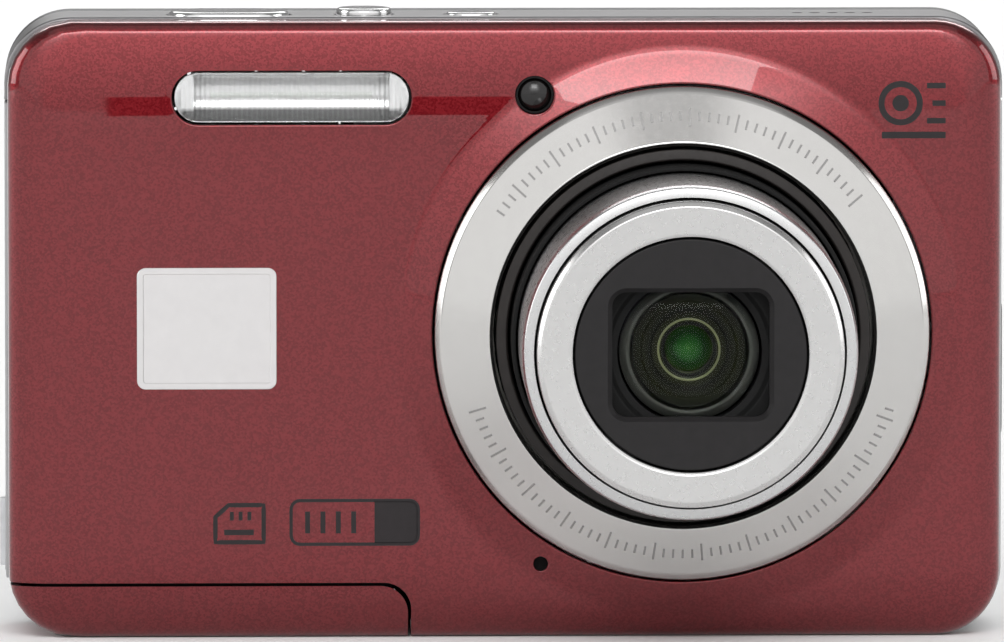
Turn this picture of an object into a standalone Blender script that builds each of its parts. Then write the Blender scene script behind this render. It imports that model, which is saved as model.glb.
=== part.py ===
"""Compact digital camera with a retracting zoom lens, as an assembly of separate pieces.

The camera stands on its base and its lens looks along -Y. X runs to the right as seen from the
front and Z runs up. The origin lies on the base, half way along the body and half way through it.
Sizes in this file are in millimetres; MM turns them into Blender's metres. The lens is modelled
extended, with its barrier blades open, and the doors and buttons are at rest.
"""

import math

import bmesh
import bpy
from mathutils import Vector

MM = 0.001

# Casing
BODY_W = 91.5
BODY_H = 56.5
FRONT_Y = -9.25
REAR_Y = 9.25
CORNER_R = 5.2
COVER_INSET = 0.5  # the red front cover is this much narrower than the grey frame, each side
COVER_TOP = 56.05
COVER_WALL = 0.9
COVER_SEAM_Y = -4.3
SIDE_ROLL = 4.7
TOP_ROLL = 1.7
FRONT_ROLL_DEPTH = 2.6
FRAME_FRONT_Y = -4.0
FRAME_REAR_Y = 5.0
FRAME_WALL = 1.2
TOP_COVER_BOTTOM = 49.0
REAR_COVER_FRONT_Y = 5.3
REAR_ROLL = 2.2
REAR_ROLL_DEPTH = 1.6
GAP = 0.3

# Lens, about an axis parallel to Y; "ahead" is a distance in front of the front face
LENS_X = 16.1
LENS_Z = 28.0
LENS_SIDES = 40
OPENING_R = 22.75
BOSS_R = 26.2
BOSS_TOP_R = 23.1
BOSS_AHEAD = 1.2
DRESS_OUT_R = 22.45
DRESS_IN_R = 17.3
DRESS_IN_AHEAD = 3.9
SHIELD_OUT_R = 17.0
SHIELD_IN_R = 15.95
RING_BACK = -0.6
FIXED_OUT_R = 16.9
FIXED_IN_R = 16.0
FIXED_REAR_Y = 3.2
GUIDE_OUT_R = 15.7
GUIDE_IN_R = 15.3
GUIDE_AHEAD = 7.2
GUIDE_LENGTH = 14.2
OUTER_R = 15.1
OUTER_BORE_R = 14.3
OUTER_RIM_R = 14.1
OUTER_AHEAD = 19.2
OUTER_LENGTH = 14.9
INNER_R = 13.8
INNER_BORE_R = 12.9
INNER_AHEAD = 22.45
INNER_LENGTH = 11.85
MASK_R = 10.4
MASK_AHEAD = 22.2
MASK_THICK = 0.9
WINDOW_W = 14.1
WINDOW_H = 11.2
BLADE_THICK = 0.35
BLADE_H = 3.65
BLADE_HALF_W = 7.7
BLADE_EDGE = 5.75
GEAR_PITCH_R = 19.2
GEAR_TEETH = 40
PINION_TEETH = 8
GEAR_FRONT_Y = -8.0
GEAR_REAR_Y = -5.2
PINION_ANGLE = -48.0

# Front face
FLASH_X = -19.4
FLASH_Z = 49.5
FLASH_W = 21.7
FLASH_H = 4.9
LAMP_X = 2.7
LAMP_Z = 49.7
LAMP_R = 1.6
MIC_X = 3.25
MIC_Z = 6.85
MIC_HOLE_R = 0.65

# Battery door, which wraps the lower left edge and turns on a pin along its rear edge
DOOR_END_X = -8.7
DOOR_TOP = 5.0
DOOR_CORNER_R = 2.5
DOOR_WALL = 1.1
DOOR_GAP = 0.15
DOOR_PIN_Y = 4.4
DOOR_PIN_Z = 0.65
DOOR_EDGE_R = 0.6
DOOR_EDGE_LEFT = -39.5
DOOR_EDGE_RIGHT = -9.2
DOOR_BORE_R = 0.42
DOOR_NOTCHES = {"left": -34.0, "right": -15.0}
DOOR_NOTCH_HALF_W = 1.3
DOOR_NOTCH_FRONT_Y = 3.1
PIN_R = 0.3
PIN_LEFT = -38.6
PIN_RIGHT = -10.0
EAR_HALF_W = 0.8
EAR_LOW_Z = 0.25
HINGE_PLATE_LOW = (-36.5, 3.3, 1.7)
HINGE_PLATE_HIGH = (-12.5, 4.9, 2.1)
DOOR_WEB_LOW = (-8.4, -4.0, 0.6)
DOOR_WEB_HIGH = (-7.2, 5.0, 6.5)
DOOR_RAIL_LOW = (-44.9, 3.6, 5.3)
DOOR_RAIL_HIGH = (-7.8, 4.7, 6.5)

# Rear face
SCREEN_LEFT, SCREEN_RIGHT = -14.7, 42.7
SCREEN_BOTTOM, SCREEN_TOP = 5.2, 51.4
SCREEN_FRONT_Y, SCREEN_REAR_Y = 8.3, 9.3
SCREEN_CORNER_R = 1.2
MODULE_FRONT_Y, MODULE_REAR_Y = 6.5, 7.8
MODULE_SIDE, MODULE_END = 1.2, 1.8
PAD_X = -30.0
PAD_Z = 25.0
PAD_R = 8.6
PAD_BORE_R = 4.3
SET_R = 3.8
REAR_BUTTON_R = 2.3
REAR_BUTTON_SIDES = 20
REAR_BUTTONS = {
    "record_button": (-20.3, 49.6),
    "menu_button": (-22.5, 39.5),
    "playback_button": (-37.5, 39.5),
    "delete_button": (-37.5, 10.5),
    "info_button": (-22.5, 10.5),
}
ROCKER_X = -35.2
ROCKER_Z = 49.6
ROCKER_W = 13.0
ROCKER_H = 5.0

# Top controls: centre X, centre Y, width, depth, height of the cap above the base
SHUTTER_BUTTON = (-25.05, -0.2, 11.0, 6.8, 56.85)
POWER_BUTTON = (-12.7, 0.0, 5.1, 5.1, 57.1)
MODE_BUTTON = (-2.9, 0.0, 4.6, 3.4, 56.7)
BUTTON_FOOT_Z = 54.7

# Battery and memory card
BATTERY_LOW = (-41.8, -6.85, 2.6)
BATTERY_HIGH = (-11.2, -1.25, 42.4)
CARD_LOW = (-40.0, 0.5, 2.6)
CARD_HIGH = (-16.0, 2.6, 34.6)

BATTERY_BOX_LOW = (-42.6, -7.6, 3.0)
BATTERY_BOX_HIGH = (-10.4, -0.5, 44.0)
BATTERY_ROOM_LOW = (-42.1, -7.1, 0)
BATTERY_ROOM_HIGH = (-10.9, -1.0, 42.9)
CARD_SOCKET_LOW = (-40.7, 0.0, 6.0)
CARD_SOCKET_HIGH = (-15.3, 3.1, 35.6)
CARD_ROOM_LOW = (-40.3, 0.3, 0)
CARD_ROOM_HIGH = (-15.7, 2.8, 35.0)

# Tripod socket in the base and wrist strap lug in the left side
TRIPOD_X = 16.1
TRIPOD_Y = 0.5
TRIPOD_R = 3.9
TRIPOD_HEIGHT = 6.0
TRIPOD_SHOULDER = 5.0
TRIPOD_SHOULDER_IN = 0.8
TRIPOD_BORE_R = 3.1
TRIPOD_DEPTH = 4.6
TRIPOD_ROOM = 0.15
LUG_LOW = (-45.6, -3.2, 5.8)
LUG_HIGH = (-43.0, 3.2, 12.3)
LUG_POCKET_LOW = (-50, -2.6, 6.4)
LUG_POCKET_HIGH = (-43.5, 2.6, 11.7)
LUG_BAR_X = -45.35
LUG_BAR_R = 0.75

# Port in the right side, under a hinged rubber cover
PORT_COVER_LOW = (44.75, -2.6, 17.9)
PORT_COVER_HIGH = (45.7, 2.9, 30.1)
PORT_HINGE = (45.7, 2.95, 24)
PORT_EDGE = 0.3
PORT_GAP = 0.2
USB_LOW = (38.6, -1.5, 20.0)
USB_HIGH = (44.3, 1.5, 28.0)
USB_MOUTH_LOW = (40.0, -1.0, 20.5)
USB_MOUTH_HIGH = (50, 1.0, 27.5)
SOFT_EDGE = 0.5

# Boards and other inner pieces
MAIN_BOARD_LOW = (-43.0, 4.9, 8.0)
MAIN_BOARD_HIGH = (-14.5, 5.7, 46.0)
CHIPS = {
    "processor": ((-34.0, 3.8, 37.0), (-24.0, 5.2, 45.0)),
    "memory": ((-41.0, 4.0, 38.0), (-36.0, 5.2, 44.5)),
}
TOP_BOARD_LOW = (-33.0, -3.2, 52.7)
TOP_BOARD_HIGH = (1.0, 4.4, 53.5)
SPEAKER_LOW = (24.5, -3.2, 52.4)
SPEAKER_HIGH = (36.5, 4.2, 54.9)
SPEAKER_HOLES = 5
SPEAKER_HOLE_X = 27.0
SPEAKER_HOLE_Y = 0.5
SPEAKER_HOLE_STEP = 1.6
SPEAKER_HOLE_R = 0.45
CAPACITOR_LOW = (-6.4, -0.9, 10.0)
CAPACITOR_HIGH = (-6.4, -0.9, 36.0)
CAPACITOR_R = 3.1
LENS_BASE_LOW = (-3.5, 3.5, 8.5)
LENS_BASE_HIGH = (36.0, 5.2, 47.5)
SENSOR_POCKET = (5.0, 4.5)
SENSOR_PIECES = (  # name, half width, half height, front Y, rear Y, finish
    ("image_sensor", 4.6, 4.1, 3.9, 5.15, "screen_black"),
    ("sensor_board", 11.0, 9.0, 5.5, 6.1, "board_green"),
)
CELL_R = 12.6
FRONT_CELL_BORE_R = 6.5
FRONT_CELL_BACK, FRONT_CELL_FRONT = 16.9, 19.6
FRONT_GLASS_R = 6.2
FRONT_GLASS_BACK, FRONT_GLASS_FRONT, FRONT_GLASS_BULGE = 17.1, 19.7, 1.5
ZOOM_CELL_R = 12.3
ZOOM_CELL_BORE_R = 5.0
ZOOM_CELL_BACK, ZOOM_CELL_FRONT = 2.4, 6.6
ZOOM_GLASS_R = 4.7
ZOOM_GLASS_BACK, ZOOM_GLASS_FRONT, ZOOM_GLASS_BULGE = 2.8, 6.3, 1.0
SHUTTER_BORE_R = 3.2
SHUTTER_BACK, SHUTTER_FRONT = 6.9, 7.9
TOOTH_ROOT = 0.75
TOOTH_TIP = 0.5
RING_CLEARANCE = 0.25
PINION_SHAFT_R = 0.6
PINION_SHAFT_END_Y = -4.9
MOTOR_R = 3.0
MOTOR_REAR_Y = 3.1
MOTOR_FRONT_Y = -4.3

MATERIALS = {  # colour, roughness, metallic
    "red_metal": ((0.36, 0.030, 0.035), 0.30, 0.45),
    "grey_metal": ((0.22, 0.21, 0.21), 0.40, 0.60),
    "grey_frame": ((0.36, 0.355, 0.355), 0.40, 0.30),
    "key_plastic": ((0.09, 0.09, 0.095), 0.40, 0.0),
    "black_plastic": ((0.020, 0.020, 0.022), 0.45, 0.0),
    "silver_ring": ((0.62, 0.61, 0.59), 0.30, 0.95),
    "barrel_silver": ((0.66, 0.66, 0.66), 0.28, 0.95),
    "charcoal": ((0.045, 0.042, 0.040), 0.55, 0.0),
    "button_chrome": ((0.72, 0.72, 0.72), 0.18, 1.0),
    "glass": ((0.75, 0.80, 0.82), 0.05, 0.0),
    "clear_plastic": ((0.85, 0.86, 0.86), 0.10, 0.0),
    "screen_black": ((0.008, 0.008, 0.010), 0.08, 0.0),
    "reflector": ((0.80, 0.80, 0.80), 0.12, 1.0),
    "lamp_black": ((0.015, 0.013, 0.013), 0.08, 0.0),
    "board_green": ((0.02, 0.14, 0.07), 0.50, 0.0),
    "steel": ((0.55, 0.56, 0.58), 0.30, 1.0),
    "battery_wrap": ((0.09, 0.10, 0.13), 0.50, 0.0),
    "card_blue": ((0.03, 0.06, 0.16), 0.45, 0.0),
    "white_gear": ((0.72, 0.72, 0.68), 0.50, 0.0),
    "rubber": ((0.030, 0.030, 0.030), 0.80, 0.0),
}


# Scene and object helpers


def clear_scene():
    for old in list(bpy.data.objects):
        bpy.data.objects.remove(old)


def material(name):
    found = bpy.data.materials.get(name)
    if found:
        return found
    colour, roughness, metallic = MATERIALS[name]
    made = bpy.data.materials.new(name)
    made.use_nodes = True
    shader = made.node_tree.nodes["Principled BSDF"]
    shader.inputs["Base Color"].default_value = (*colour, 1.0)
    shader.inputs["Roughness"].default_value = roughness
    shader.inputs["Metallic"].default_value = metallic
    return made


def add_object(name, bm, origin, finish=None):
    """Turns a bmesh in millimetres into an object in metres whose origin is at the given point."""
    bmesh.ops.recalc_face_normals(bm, faces=bm.faces)
    start = Vector(origin)
    for vert in bm.verts:
        vert.co = (vert.co - start) * MM
    mesh = bpy.data.meshes.new(name)
    bm.to_mesh(mesh)
    bm.free()
    obj = bpy.data.objects.new(name, mesh)
    obj.location = start * MM
    bpy.context.scene.collection.objects.link(obj)
    if finish:
        mesh.materials.append(material(finish))
        mesh.shade_smooth()
        mesh.set_sharp_from_angle(angle=math.radians(30))
    return obj


def cutter(name, bm):
    obj = add_object(name, bm, (0, 0, 0))
    obj.hide_render = True
    obj.display_type = "WIRE"
    return obj


def combine(obj, other, operation):
    step = obj.modifiers.new(f"{operation.lower()}_{other.name}", "BOOLEAN")
    step.operation = operation
    step.object = other


def cut(obj, name, bm):
    combine(obj, cutter(f"cut_{name}", bm), "DIFFERENCE")


def join(obj, name, bm):
    combine(obj, cutter(f"add_{name}", bm), "UNION")


def keep(obj, name, bm):
    combine(obj, cutter(f"keep_{name}", bm), "INTERSECT")


# Shape helpers: each returns a bmesh in millimetres


def loft(rings, closed=False):
    """Skins rings of equal point counts; a closed loft meets its own start, an open one is capped."""
    bm = bmesh.new()
    rows = [[bm.verts.new(point) for point in ring] for ring in rings]
    count = len(rows[0])
    pairs = list(zip(rows, rows[1:]))
    if closed:
        pairs.append((rows[-1], rows[0]))
    for low, high in pairs:
        for k in range(count):
            after = (k + 1) % count
            bm.faces.new((low[k], low[after], high[after], high[k]))
    if not closed:
        bm.faces.new(rows[0])
        bm.faces.new(rows[-1])
    return bm


def circle(centre, radius, axis="Y", sides=LENS_SIDES):
    """A ring of points round a line through centre, along X, Y or Z."""
    first, second = {"X": (1, 2), "Y": (0, 2), "Z": (0, 1)}[axis]
    points = []
    for k in range(sides):
        angle = 2 * math.pi * k / sides
        point = Vector(centre)
        point[first] += radius * math.cos(angle)
        point[second] += radius * math.sin(angle)
        points.append(point)
    return points


def ahead(distance):
    """The Y of a plane that lies this far in front of the front face."""
    return FRONT_Y - distance


def turned(profile, x=LENS_X, z=LENS_Z, sides=LENS_SIDES, closed=True):
    """A shape turned round an axis along Y from (radius, y) pairs."""
    return loft([circle((x, y, z), radius, "Y", sides) for radius, y in profile], closed)


def rod(start, end, radius, sides=16):
    """A round bar along the axis in which its two ends differ."""
    axis = "XYZ"[max(range(3), key=lambda k: abs(end[k] - start[k]))]
    return loft([circle(start, radius, axis, sides), circle(end, radius, axis, sides)])


def block(low, high):
    bm = bmesh.new()
    bmesh.ops.create_cube(bm, size=1)
    centre = (Vector(low) + Vector(high)) / 2
    size = Vector(high) - Vector(low)
    for vert in bm.verts:
        vert.co = Vector(a * b for a, b in zip(vert.co, size)) + centre
    return bm


def soft_block(low, high, radius, segments=2):
    bm = block(low, high)
    bmesh.ops.bevel(
        bm, geom=bm.edges[:], offset=radius, segments=segments, profile=0.5, affect="EDGES"
    )
    return bm


def rounded_outline(left, right, bottom, top, radius, steps):
    """A rounded rectangle as (across, up) pairs."""
    corners = (
        (right - radius, top - radius, 0),
        (left + radius, top - radius, 90),
        (left + radius, bottom + radius, 180),
        (right - radius, bottom + radius, 270),
    )
    points = []
    for across, up, start in corners:
        for k in range(steps + 1):
            angle = math.radians(start + 90 * k / steps)
            points.append((across + radius * math.cos(angle), up + radius * math.sin(angle)))
    return points


def front_plate(x, z, width, height, radius, y_low, y_high, steps=4):
    """A rounded rectangle in the XZ plane, thick along Y."""
    outline = rounded_outline(
        x - width / 2, x + width / 2, z - height / 2, z + height / 2, radius, steps
    )
    return loft([[Vector((a, y, b)) for a, b in outline] for y in (y_low, y_high)])


def top_plate(x, y, width, depth, radius, layers, steps=5):
    """A rounded rectangle in the XY plane; layers are (inset, z) pairs from bottom to top."""
    rings = []
    for inset, z in layers:
        outline = rounded_outline(
            x - width / 2 + inset,
            x + width / 2 - inset,
            y - depth / 2 + inset,
            y + depth / 2 - inset,
            radius - inset,
            steps,
        )
        rings.append([Vector((a, b, z)) for a, b in outline])
    return loft(rings)


def casing_stack(half_w, bottom, top, offset, face_y, open_y, side_roll, top_roll, depth):
    """A rounded slab whose face rolls over into its sides, shrunk by offset on every side."""
    towards = 1 if open_y > face_y else -1
    side_roll = side_roll - offset
    top_roll = max(top_roll - offset, 0.4)
    depth = depth - offset
    rings = []
    steps = 5
    for k in range(steps + 1):
        angle = math.pi / 2 * k / steps
        share = 1 - math.sin(angle)
        y = face_y + towards * (offset + depth * (1 - math.cos(angle)))
        rings.append(casing_ring(half_w, bottom, top, offset, y, side_roll * share, top_roll * share))
    rings.append(casing_ring(half_w, bottom, top, offset, open_y, 0, 0))
    return loft(rings)


def casing_ring(half_w, bottom, top, offset, y, side_inset, top_inset):
    radius = CORNER_R - offset
    low_r = max(radius - side_inset, 0.8)
    high_r = max(radius - (side_inset + top_inset) / 2, 1.2)
    left, right = -half_w + offset + side_inset, half_w - offset - side_inset
    low, high = bottom + offset + side_inset, top - offset - top_inset
    points = []
    for across, up, r, start in (
        (right - high_r, high - high_r, high_r, 0),
        (left + high_r, high - high_r, high_r, 90),
        (left + low_r, low + low_r, low_r, 180),
        (right - low_r, low + low_r, low_r, 270),
    ):
        for k in range(6):
            angle = math.radians(start + 18 * k)
            points.append(Vector((across + r * math.cos(angle), y, up + r * math.sin(angle))))
    return points


def door_zone(grow):
    """The room of the battery door at the lower left, one corner rounded, grown on its seams."""
    end, top, r = DOOR_END_X + grow, DOOR_TOP + grow, DOOR_CORNER_R
    outline = [(-60, -5), (end, -5)]
    for k in range(6):
        angle = math.radians(18 * k)
        outline.append((end - r + r * math.cos(angle), top - r + r * math.sin(angle)))
    outline.append((-60, top))
    return [[Vector((a, y, b)) for a, b in outline] for y in (-20, DOOR_PIN_Y + DOOR_EDGE_R + grow)]


# Casing


def front_cover():
    cover_half = BODY_W / 2 - COVER_INSET
    shape = (cover_half, 0, COVER_TOP)
    rolls = (SIDE_ROLL, TOP_ROLL, FRONT_ROLL_DEPTH)
    bm = casing_stack(*shape, 0, FRONT_Y, COVER_SEAM_Y, *rolls)
    obj = add_object("front_cover", bm, (0, FRONT_Y, 0), "red_metal")
    flare = [(BOSS_R + 0.15, ahead(-0.6)), (BOSS_R + 0.15, ahead(-0.03))]
    for k in range(1, 6):
        along = k / 5
        radius = BOSS_R - (BOSS_R - BOSS_TOP_R) * along
        flare.append((radius, ahead(BOSS_AHEAD * along**2)))
    join(obj, "lens_boss", turned(flare, sides=60, closed=False))
    cut(obj, "cover_cavity", casing_stack(*shape, COVER_WALL, FRONT_Y, COVER_SEAM_Y + 2, *rolls))
    opening = [(OPENING_R, ahead(4)), (OPENING_R, ahead(-3))]
    cut(obj, "lens_opening", turned(opening, sides=60, closed=False))
    window = (FLASH_X, FLASH_Z, FLASH_W, FLASH_H, FLASH_H / 2 - 0.2)
    cut(obj, "flash_opening", front_plate(*window, ahead(2), ahead(-3)))
    cut(obj, "lamp_hole", rod((LAMP_X, ahead(2), LAMP_Z), (LAMP_X, ahead(-3), LAMP_Z), LAMP_R + 0.15, 20))
    cut(obj, "mic_hole", rod((MIC_X, ahead(2), MIC_Z), (MIC_X, ahead(-3), MIC_Z), MIC_HOLE_R, 12))
    cut(obj, "door_room", loft(door_zone(DOOR_GAP)))


def frame_ring(offset, low_y, high_y):
    half = BODY_W / 2
    return loft([casing_ring(half, 0, BODY_H, offset, y, 0, 0) for y in (low_y, high_y)])


def top_cover():
    obj = add_object(
        "top_cover", frame_ring(0, FRAME_FRONT_Y, FRAME_REAR_Y), (0, 0, BODY_H), "grey_metal"
    )
    cut(obj, "top_inside", frame_ring(FRAME_WALL, FRAME_FRONT_Y - 1, FRAME_REAR_Y + 1))
    keep(obj, "top_band", block((-60, -20, TOP_COVER_BOTTOM), (60, 20, 70)))
    for name, button in (("shutter", SHUTTER_BUTTON), ("power", POWER_BUTTON), ("mode", MODE_BUTTON)):
        x, y, width, depth, _ = button
        radius = depth / 2 + 0.1
        room = top_plate(x, y, width + 0.4, depth + 0.4, radius, ((0, 50), (0, 60)))
        cut(obj, f"{name}_room", room)
    for k in range(SPEAKER_HOLES):
        x, y = SPEAKER_HOLE_X + SPEAKER_HOLE_STEP * k, SPEAKER_HOLE_Y
        cut(obj, f"speaker_hole_{k}", rod((x, y, 50), (x, y, 60), SPEAKER_HOLE_R, 8))


def middle_frame():
    obj = add_object(
        "middle_frame", frame_ring(0, FRAME_FRONT_Y, FRAME_REAR_Y), (0, 0, 0), "grey_frame"
    )
    cut(obj, "frame_inside", frame_ring(FRAME_WALL, FRAME_FRONT_Y - 1, FRAME_REAR_Y + 1))
    keep(obj, "frame_band", block((-60, -20, -5), (60, 20, TOP_COVER_BOTTOM - GAP)))
    cut(obj, "frame_door_room", loft(door_zone(DOOR_GAP)))
    join(obj, "door_web", block(DOOR_WEB_LOW, DOOR_WEB_HIGH))
    join(obj, "door_rail", block(DOOR_RAIL_LOW, DOOR_RAIL_HIGH))
    tripod_room = rod((TRIPOD_X, TRIPOD_Y, -2), (TRIPOD_X, TRIPOD_Y, 4), TRIPOD_R + TRIPOD_ROOM, 24)
    cut(obj, "tripod_room", tripod_room)
    low, high = Vector(LUG_LOW) - Vector((5, GAP, GAP)), Vector(LUG_HIGH) + Vector((-1, GAP, GAP))
    cut(obj, "lug_room", block(low, high))
    low = Vector(PORT_COVER_LOW) - Vector((0.75, PORT_GAP, PORT_GAP))
    high = Vector(PORT_COVER_HIGH) + Vector((5, PORT_GAP, PORT_GAP))
    cut(obj, "port_room", block(low, high))


def rear_cover():
    shape = (BODY_W / 2, 0, BODY_H)
    rolls = (REAR_ROLL, REAR_ROLL, REAR_ROLL_DEPTH)
    bm = casing_stack(*shape, 0, REAR_Y, REAR_COVER_FRONT_Y, *rolls)
    obj = add_object("rear_cover", bm, (0, REAR_Y, 0), "black_plastic")
    cut(obj, "rear_cavity", casing_stack(*shape, FRAME_WALL, REAR_Y, REAR_COVER_FRONT_Y - 2, *rolls))
    x, z = (SCREEN_LEFT + SCREEN_RIGHT) / 2, (SCREEN_BOTTOM + SCREEN_TOP) / 2
    size = (SCREEN_RIGHT - SCREEN_LEFT + 0.4, SCREEN_TOP - SCREEN_BOTTOM + 0.4)
    cut(obj, "screen_opening", front_plate(x, z, *size, 1.4, 6, 12))
    for name, (x, z) in REAR_BUTTONS.items():
        hole = rod((x, 6, z), (x, 12, z), REAR_BUTTON_R + 0.25, REAR_BUTTON_SIDES)
        cut(obj, f"{name}_hole", hole)
    cut(obj, "pad_hole", rod((PAD_X, 6, PAD_Z), (PAD_X, 12, PAD_Z), PAD_R + 0.4, 40))
    cut(obj, "rocker_hole", front_plate(ROCKER_X, ROCKER_Z, ROCKER_W + 0.7, ROCKER_H + 0.6, 2.6, 6, 12))


def battery_door():
    cover_half = BODY_W / 2 - COVER_INSET
    shape = (cover_half, 0, COVER_TOP)
    rolls = (SIDE_ROLL, TOP_ROLL, FRONT_ROLL_DEPTH)
    pin = (DOOR_EDGE_LEFT, DOOR_PIN_Y, DOOR_PIN_Z)
    obj = add_object(
        "battery_door", casing_stack(*shape, 0, FRONT_Y, DOOR_PIN_Y, *rolls), pin, "red_metal"
    )
    cut(obj, "door_cavity", casing_stack(*shape, DOOR_WALL, FRONT_Y, DOOR_PIN_Y + 2, *rolls))
    keep(obj, "door_outline", loft(door_zone(-DOOR_GAP)))
    line = (DOOR_PIN_Y, DOOR_PIN_Z)
    join(obj, "door_edge", rod((DOOR_EDGE_LEFT, *line), (DOOR_EDGE_RIGHT, *line), DOOR_EDGE_R, 24))
    cut(obj, "door_bore", rod((-46, *line), (-5, *line), DOOR_BORE_R, 16))
    for name, x in DOOR_NOTCHES.items():
        low = (x - DOOR_NOTCH_HALF_W, DOOR_NOTCH_FRONT_Y, -2)
        cut(obj, f"door_notch_{name}", block(low, (x + DOOR_NOTCH_HALF_W, 8, 4)))


def door_hinge():
    """The pin that the door turns on, with the bracket that slides along with it."""
    line = (DOOR_PIN_Y, DOOR_PIN_Z)
    pin = rod((PIN_LEFT, *line), (PIN_RIGHT, *line), PIN_R, 16)
    obj = add_object("door_hinge", pin, (PIN_LEFT, *line), "steel")
    for name, x in DOOR_NOTCHES.items():
        low = (x - EAR_HALF_W, DOOR_PIN_Y - 0.4, EAR_LOW_Z)
        join(obj, f"hinge_ear_{name}", block(low, (x + EAR_HALF_W, DOOR_PIN_Y + 0.4, 2.0)))
    join(obj, "hinge_plate", block(HINGE_PLATE_LOW, HINGE_PLATE_HIGH))


def strap_lug():
    """A recessed metal cup with a bar across its mouth for a wrist strap."""
    obj = add_object("strap_lug", block(LUG_LOW, LUG_HIGH), (LUG_LOW[0], 0, LUG_LOW[2]), "steel")
    cut(obj, "lug_pocket", block(LUG_POCKET_LOW, LUG_POCKET_HIGH))
    low, high = (LUG_BAR_X, 0, LUG_LOW[2] + 0.15), (LUG_BAR_X, 0, LUG_HIGH[2] - 0.15)
    join(obj, "lug_bar", rod(low, high, LUG_BAR_R, 16))


def tripod_socket():
    profile = [
        (TRIPOD_R, 0.0),
        (TRIPOD_R, TRIPOD_SHOULDER),
        (TRIPOD_R - TRIPOD_SHOULDER_IN, TRIPOD_HEIGHT),
    ]
    rings = [circle((TRIPOD_X, TRIPOD_Y, z), r, "Z", 24) for r, z in profile]
    obj = add_object("tripod_socket", loft(rings), (TRIPOD_X, TRIPOD_Y, 0), "steel")
    bore = rod((TRIPOD_X, TRIPOD_Y, -2), (TRIPOD_X, TRIPOD_Y, TRIPOD_DEPTH), TRIPOD_BORE_R, 24)
    cut(obj, "tripod_bore", bore)


# Lens, from the front of the casing outwards and then inwards


def lens_object(name, profile, finish, closed=True, sides=LENS_SIDES):
    origin = (LENS_X, profile[0][1], LENS_Z)
    return add_object(name, turned(profile, sides=sides, closed=closed), origin, finish)


def dress_ring():
    profile = [
        (DRESS_IN_R, ahead(RING_BACK)),
        (DRESS_OUT_R, ahead(RING_BACK)),
        (DRESS_OUT_R, ahead(1.0)),
        (DRESS_OUT_R - 0.4, ahead(1.55)),
        (DRESS_IN_R + 0.2, ahead(DRESS_IN_AHEAD)),
        (DRESS_IN_R, ahead(DRESS_IN_AHEAD - 0.2)),
    ]
    lens_object("dress_ring", profile, "silver_ring", sides=60)


def light_shield_ring():
    profile = [
        (SHIELD_IN_R, ahead(RING_BACK)),
        (SHIELD_OUT_R, ahead(RING_BACK)),
        (SHIELD_OUT_R, ahead(3.8)),
        (SHIELD_IN_R + 0.1, ahead(3.9)),
        (SHIELD_IN_R, ahead(3.7)),
    ]
    lens_object("light_shield_ring", profile, "charcoal")


def tube(name, outer, inner, front_y, rear_y, finish):
    profile = [(inner, rear_y), (outer, rear_y), (outer, front_y), (inner, front_y)]
    return lens_object(name, profile, finish)


def outer_barrel():
    rear = ahead(OUTER_AHEAD - OUTER_LENGTH)
    profile = [
        (OUTER_BORE_R, rear),
        (OUTER_R, rear),
        (OUTER_R, ahead(OUTER_AHEAD)),
        (OUTER_R - 0.2, ahead(OUTER_AHEAD + 0.9)),
        (OUTER_R - 0.55, ahead(OUTER_AHEAD + 1.5)),
        (OUTER_RIM_R, ahead(OUTER_AHEAD + 1.7)),
        (OUTER_RIM_R, ahead(OUTER_AHEAD + 0.3)),
        (OUTER_BORE_R, ahead(OUTER_AHEAD)),
    ]
    lens_object("outer_barrel", profile, "barrel_silver")


def inner_barrel():
    rear = ahead(INNER_AHEAD - INNER_LENGTH)
    profile = [
        (INNER_BORE_R, rear),
        (INNER_R, rear),
        (INNER_R, ahead(21.45)),
        (INNER_R - 0.15, ahead(21.9)),
        (INNER_R - 0.5, ahead(22.2)),
        (MASK_R + 0.3, ahead(INNER_AHEAD)),
        (MASK_R + 0.3, ahead(21.3)),
        (INNER_BORE_R, ahead(21.3)),
    ]
    lens_object("inner_barrel", profile, "barrel_silver")


def front_mask():
    back = MASK_AHEAD - MASK_THICK
    obj = lens_object(
        "front_mask", [(MASK_R, ahead(back)), (MASK_R, ahead(MASK_AHEAD))], "charcoal", False
    )
    room = front_plate(LENS_X, LENS_Z, WINDOW_W, WINDOW_H, 2.2, ahead(back - 2), ahead(30))
    cut(obj, "mask_window", room)


def barrier_blades():
    """Two pairs of blades in two layers; the rear pair meets at the middle when it closes."""
    layers = (("outer", 20.65), ("inner", 20.0))
    for side, sign in (("upper", 1), ("lower", -1)):
        for layer, back in layers:
            z = LENS_Z + sign * (BLADE_EDGE + BLADE_H / 2)
            bm = front_plate(
                LENS_X, z, 2 * BLADE_HALF_W, BLADE_H, 0.8, ahead(back), ahead(back + BLADE_THICK), 3
            )
            name = f"barrier_blade_{side}_{layer}"
            add_object(name, bm, (LENS_X, ahead(back), z), "charcoal")


def front_lens_group():
    profile = ring_profile(FRONT_CELL_BORE_R, CELL_R, FRONT_CELL_BACK, FRONT_CELL_FRONT)
    lens_object("front_lens_cell", profile, "black_plastic")
    glass = dome(FRONT_GLASS_R, FRONT_GLASS_BACK, FRONT_GLASS_FRONT, FRONT_GLASS_BULGE)
    lens_object("front_lens", glass, "glass", False)


def ring_profile(inner, outer, back, front):
    """The (radius, y) corners of a plain ring between two distances ahead of the face."""
    return [(inner, ahead(back)), (outer, ahead(back)), (outer, ahead(front)), (inner, ahead(front))]


def dome(radius, back, front, bulge):
    """(radius, y) pairs of a round glass with a bulging front, from back to front."""
    pairs = [(radius, ahead(back))]
    for k in range(5):
        share = k / 4.5
        pairs.append((radius * math.sqrt(1 - share**2), ahead(front - bulge * (1 - share))))
    return pairs


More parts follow.
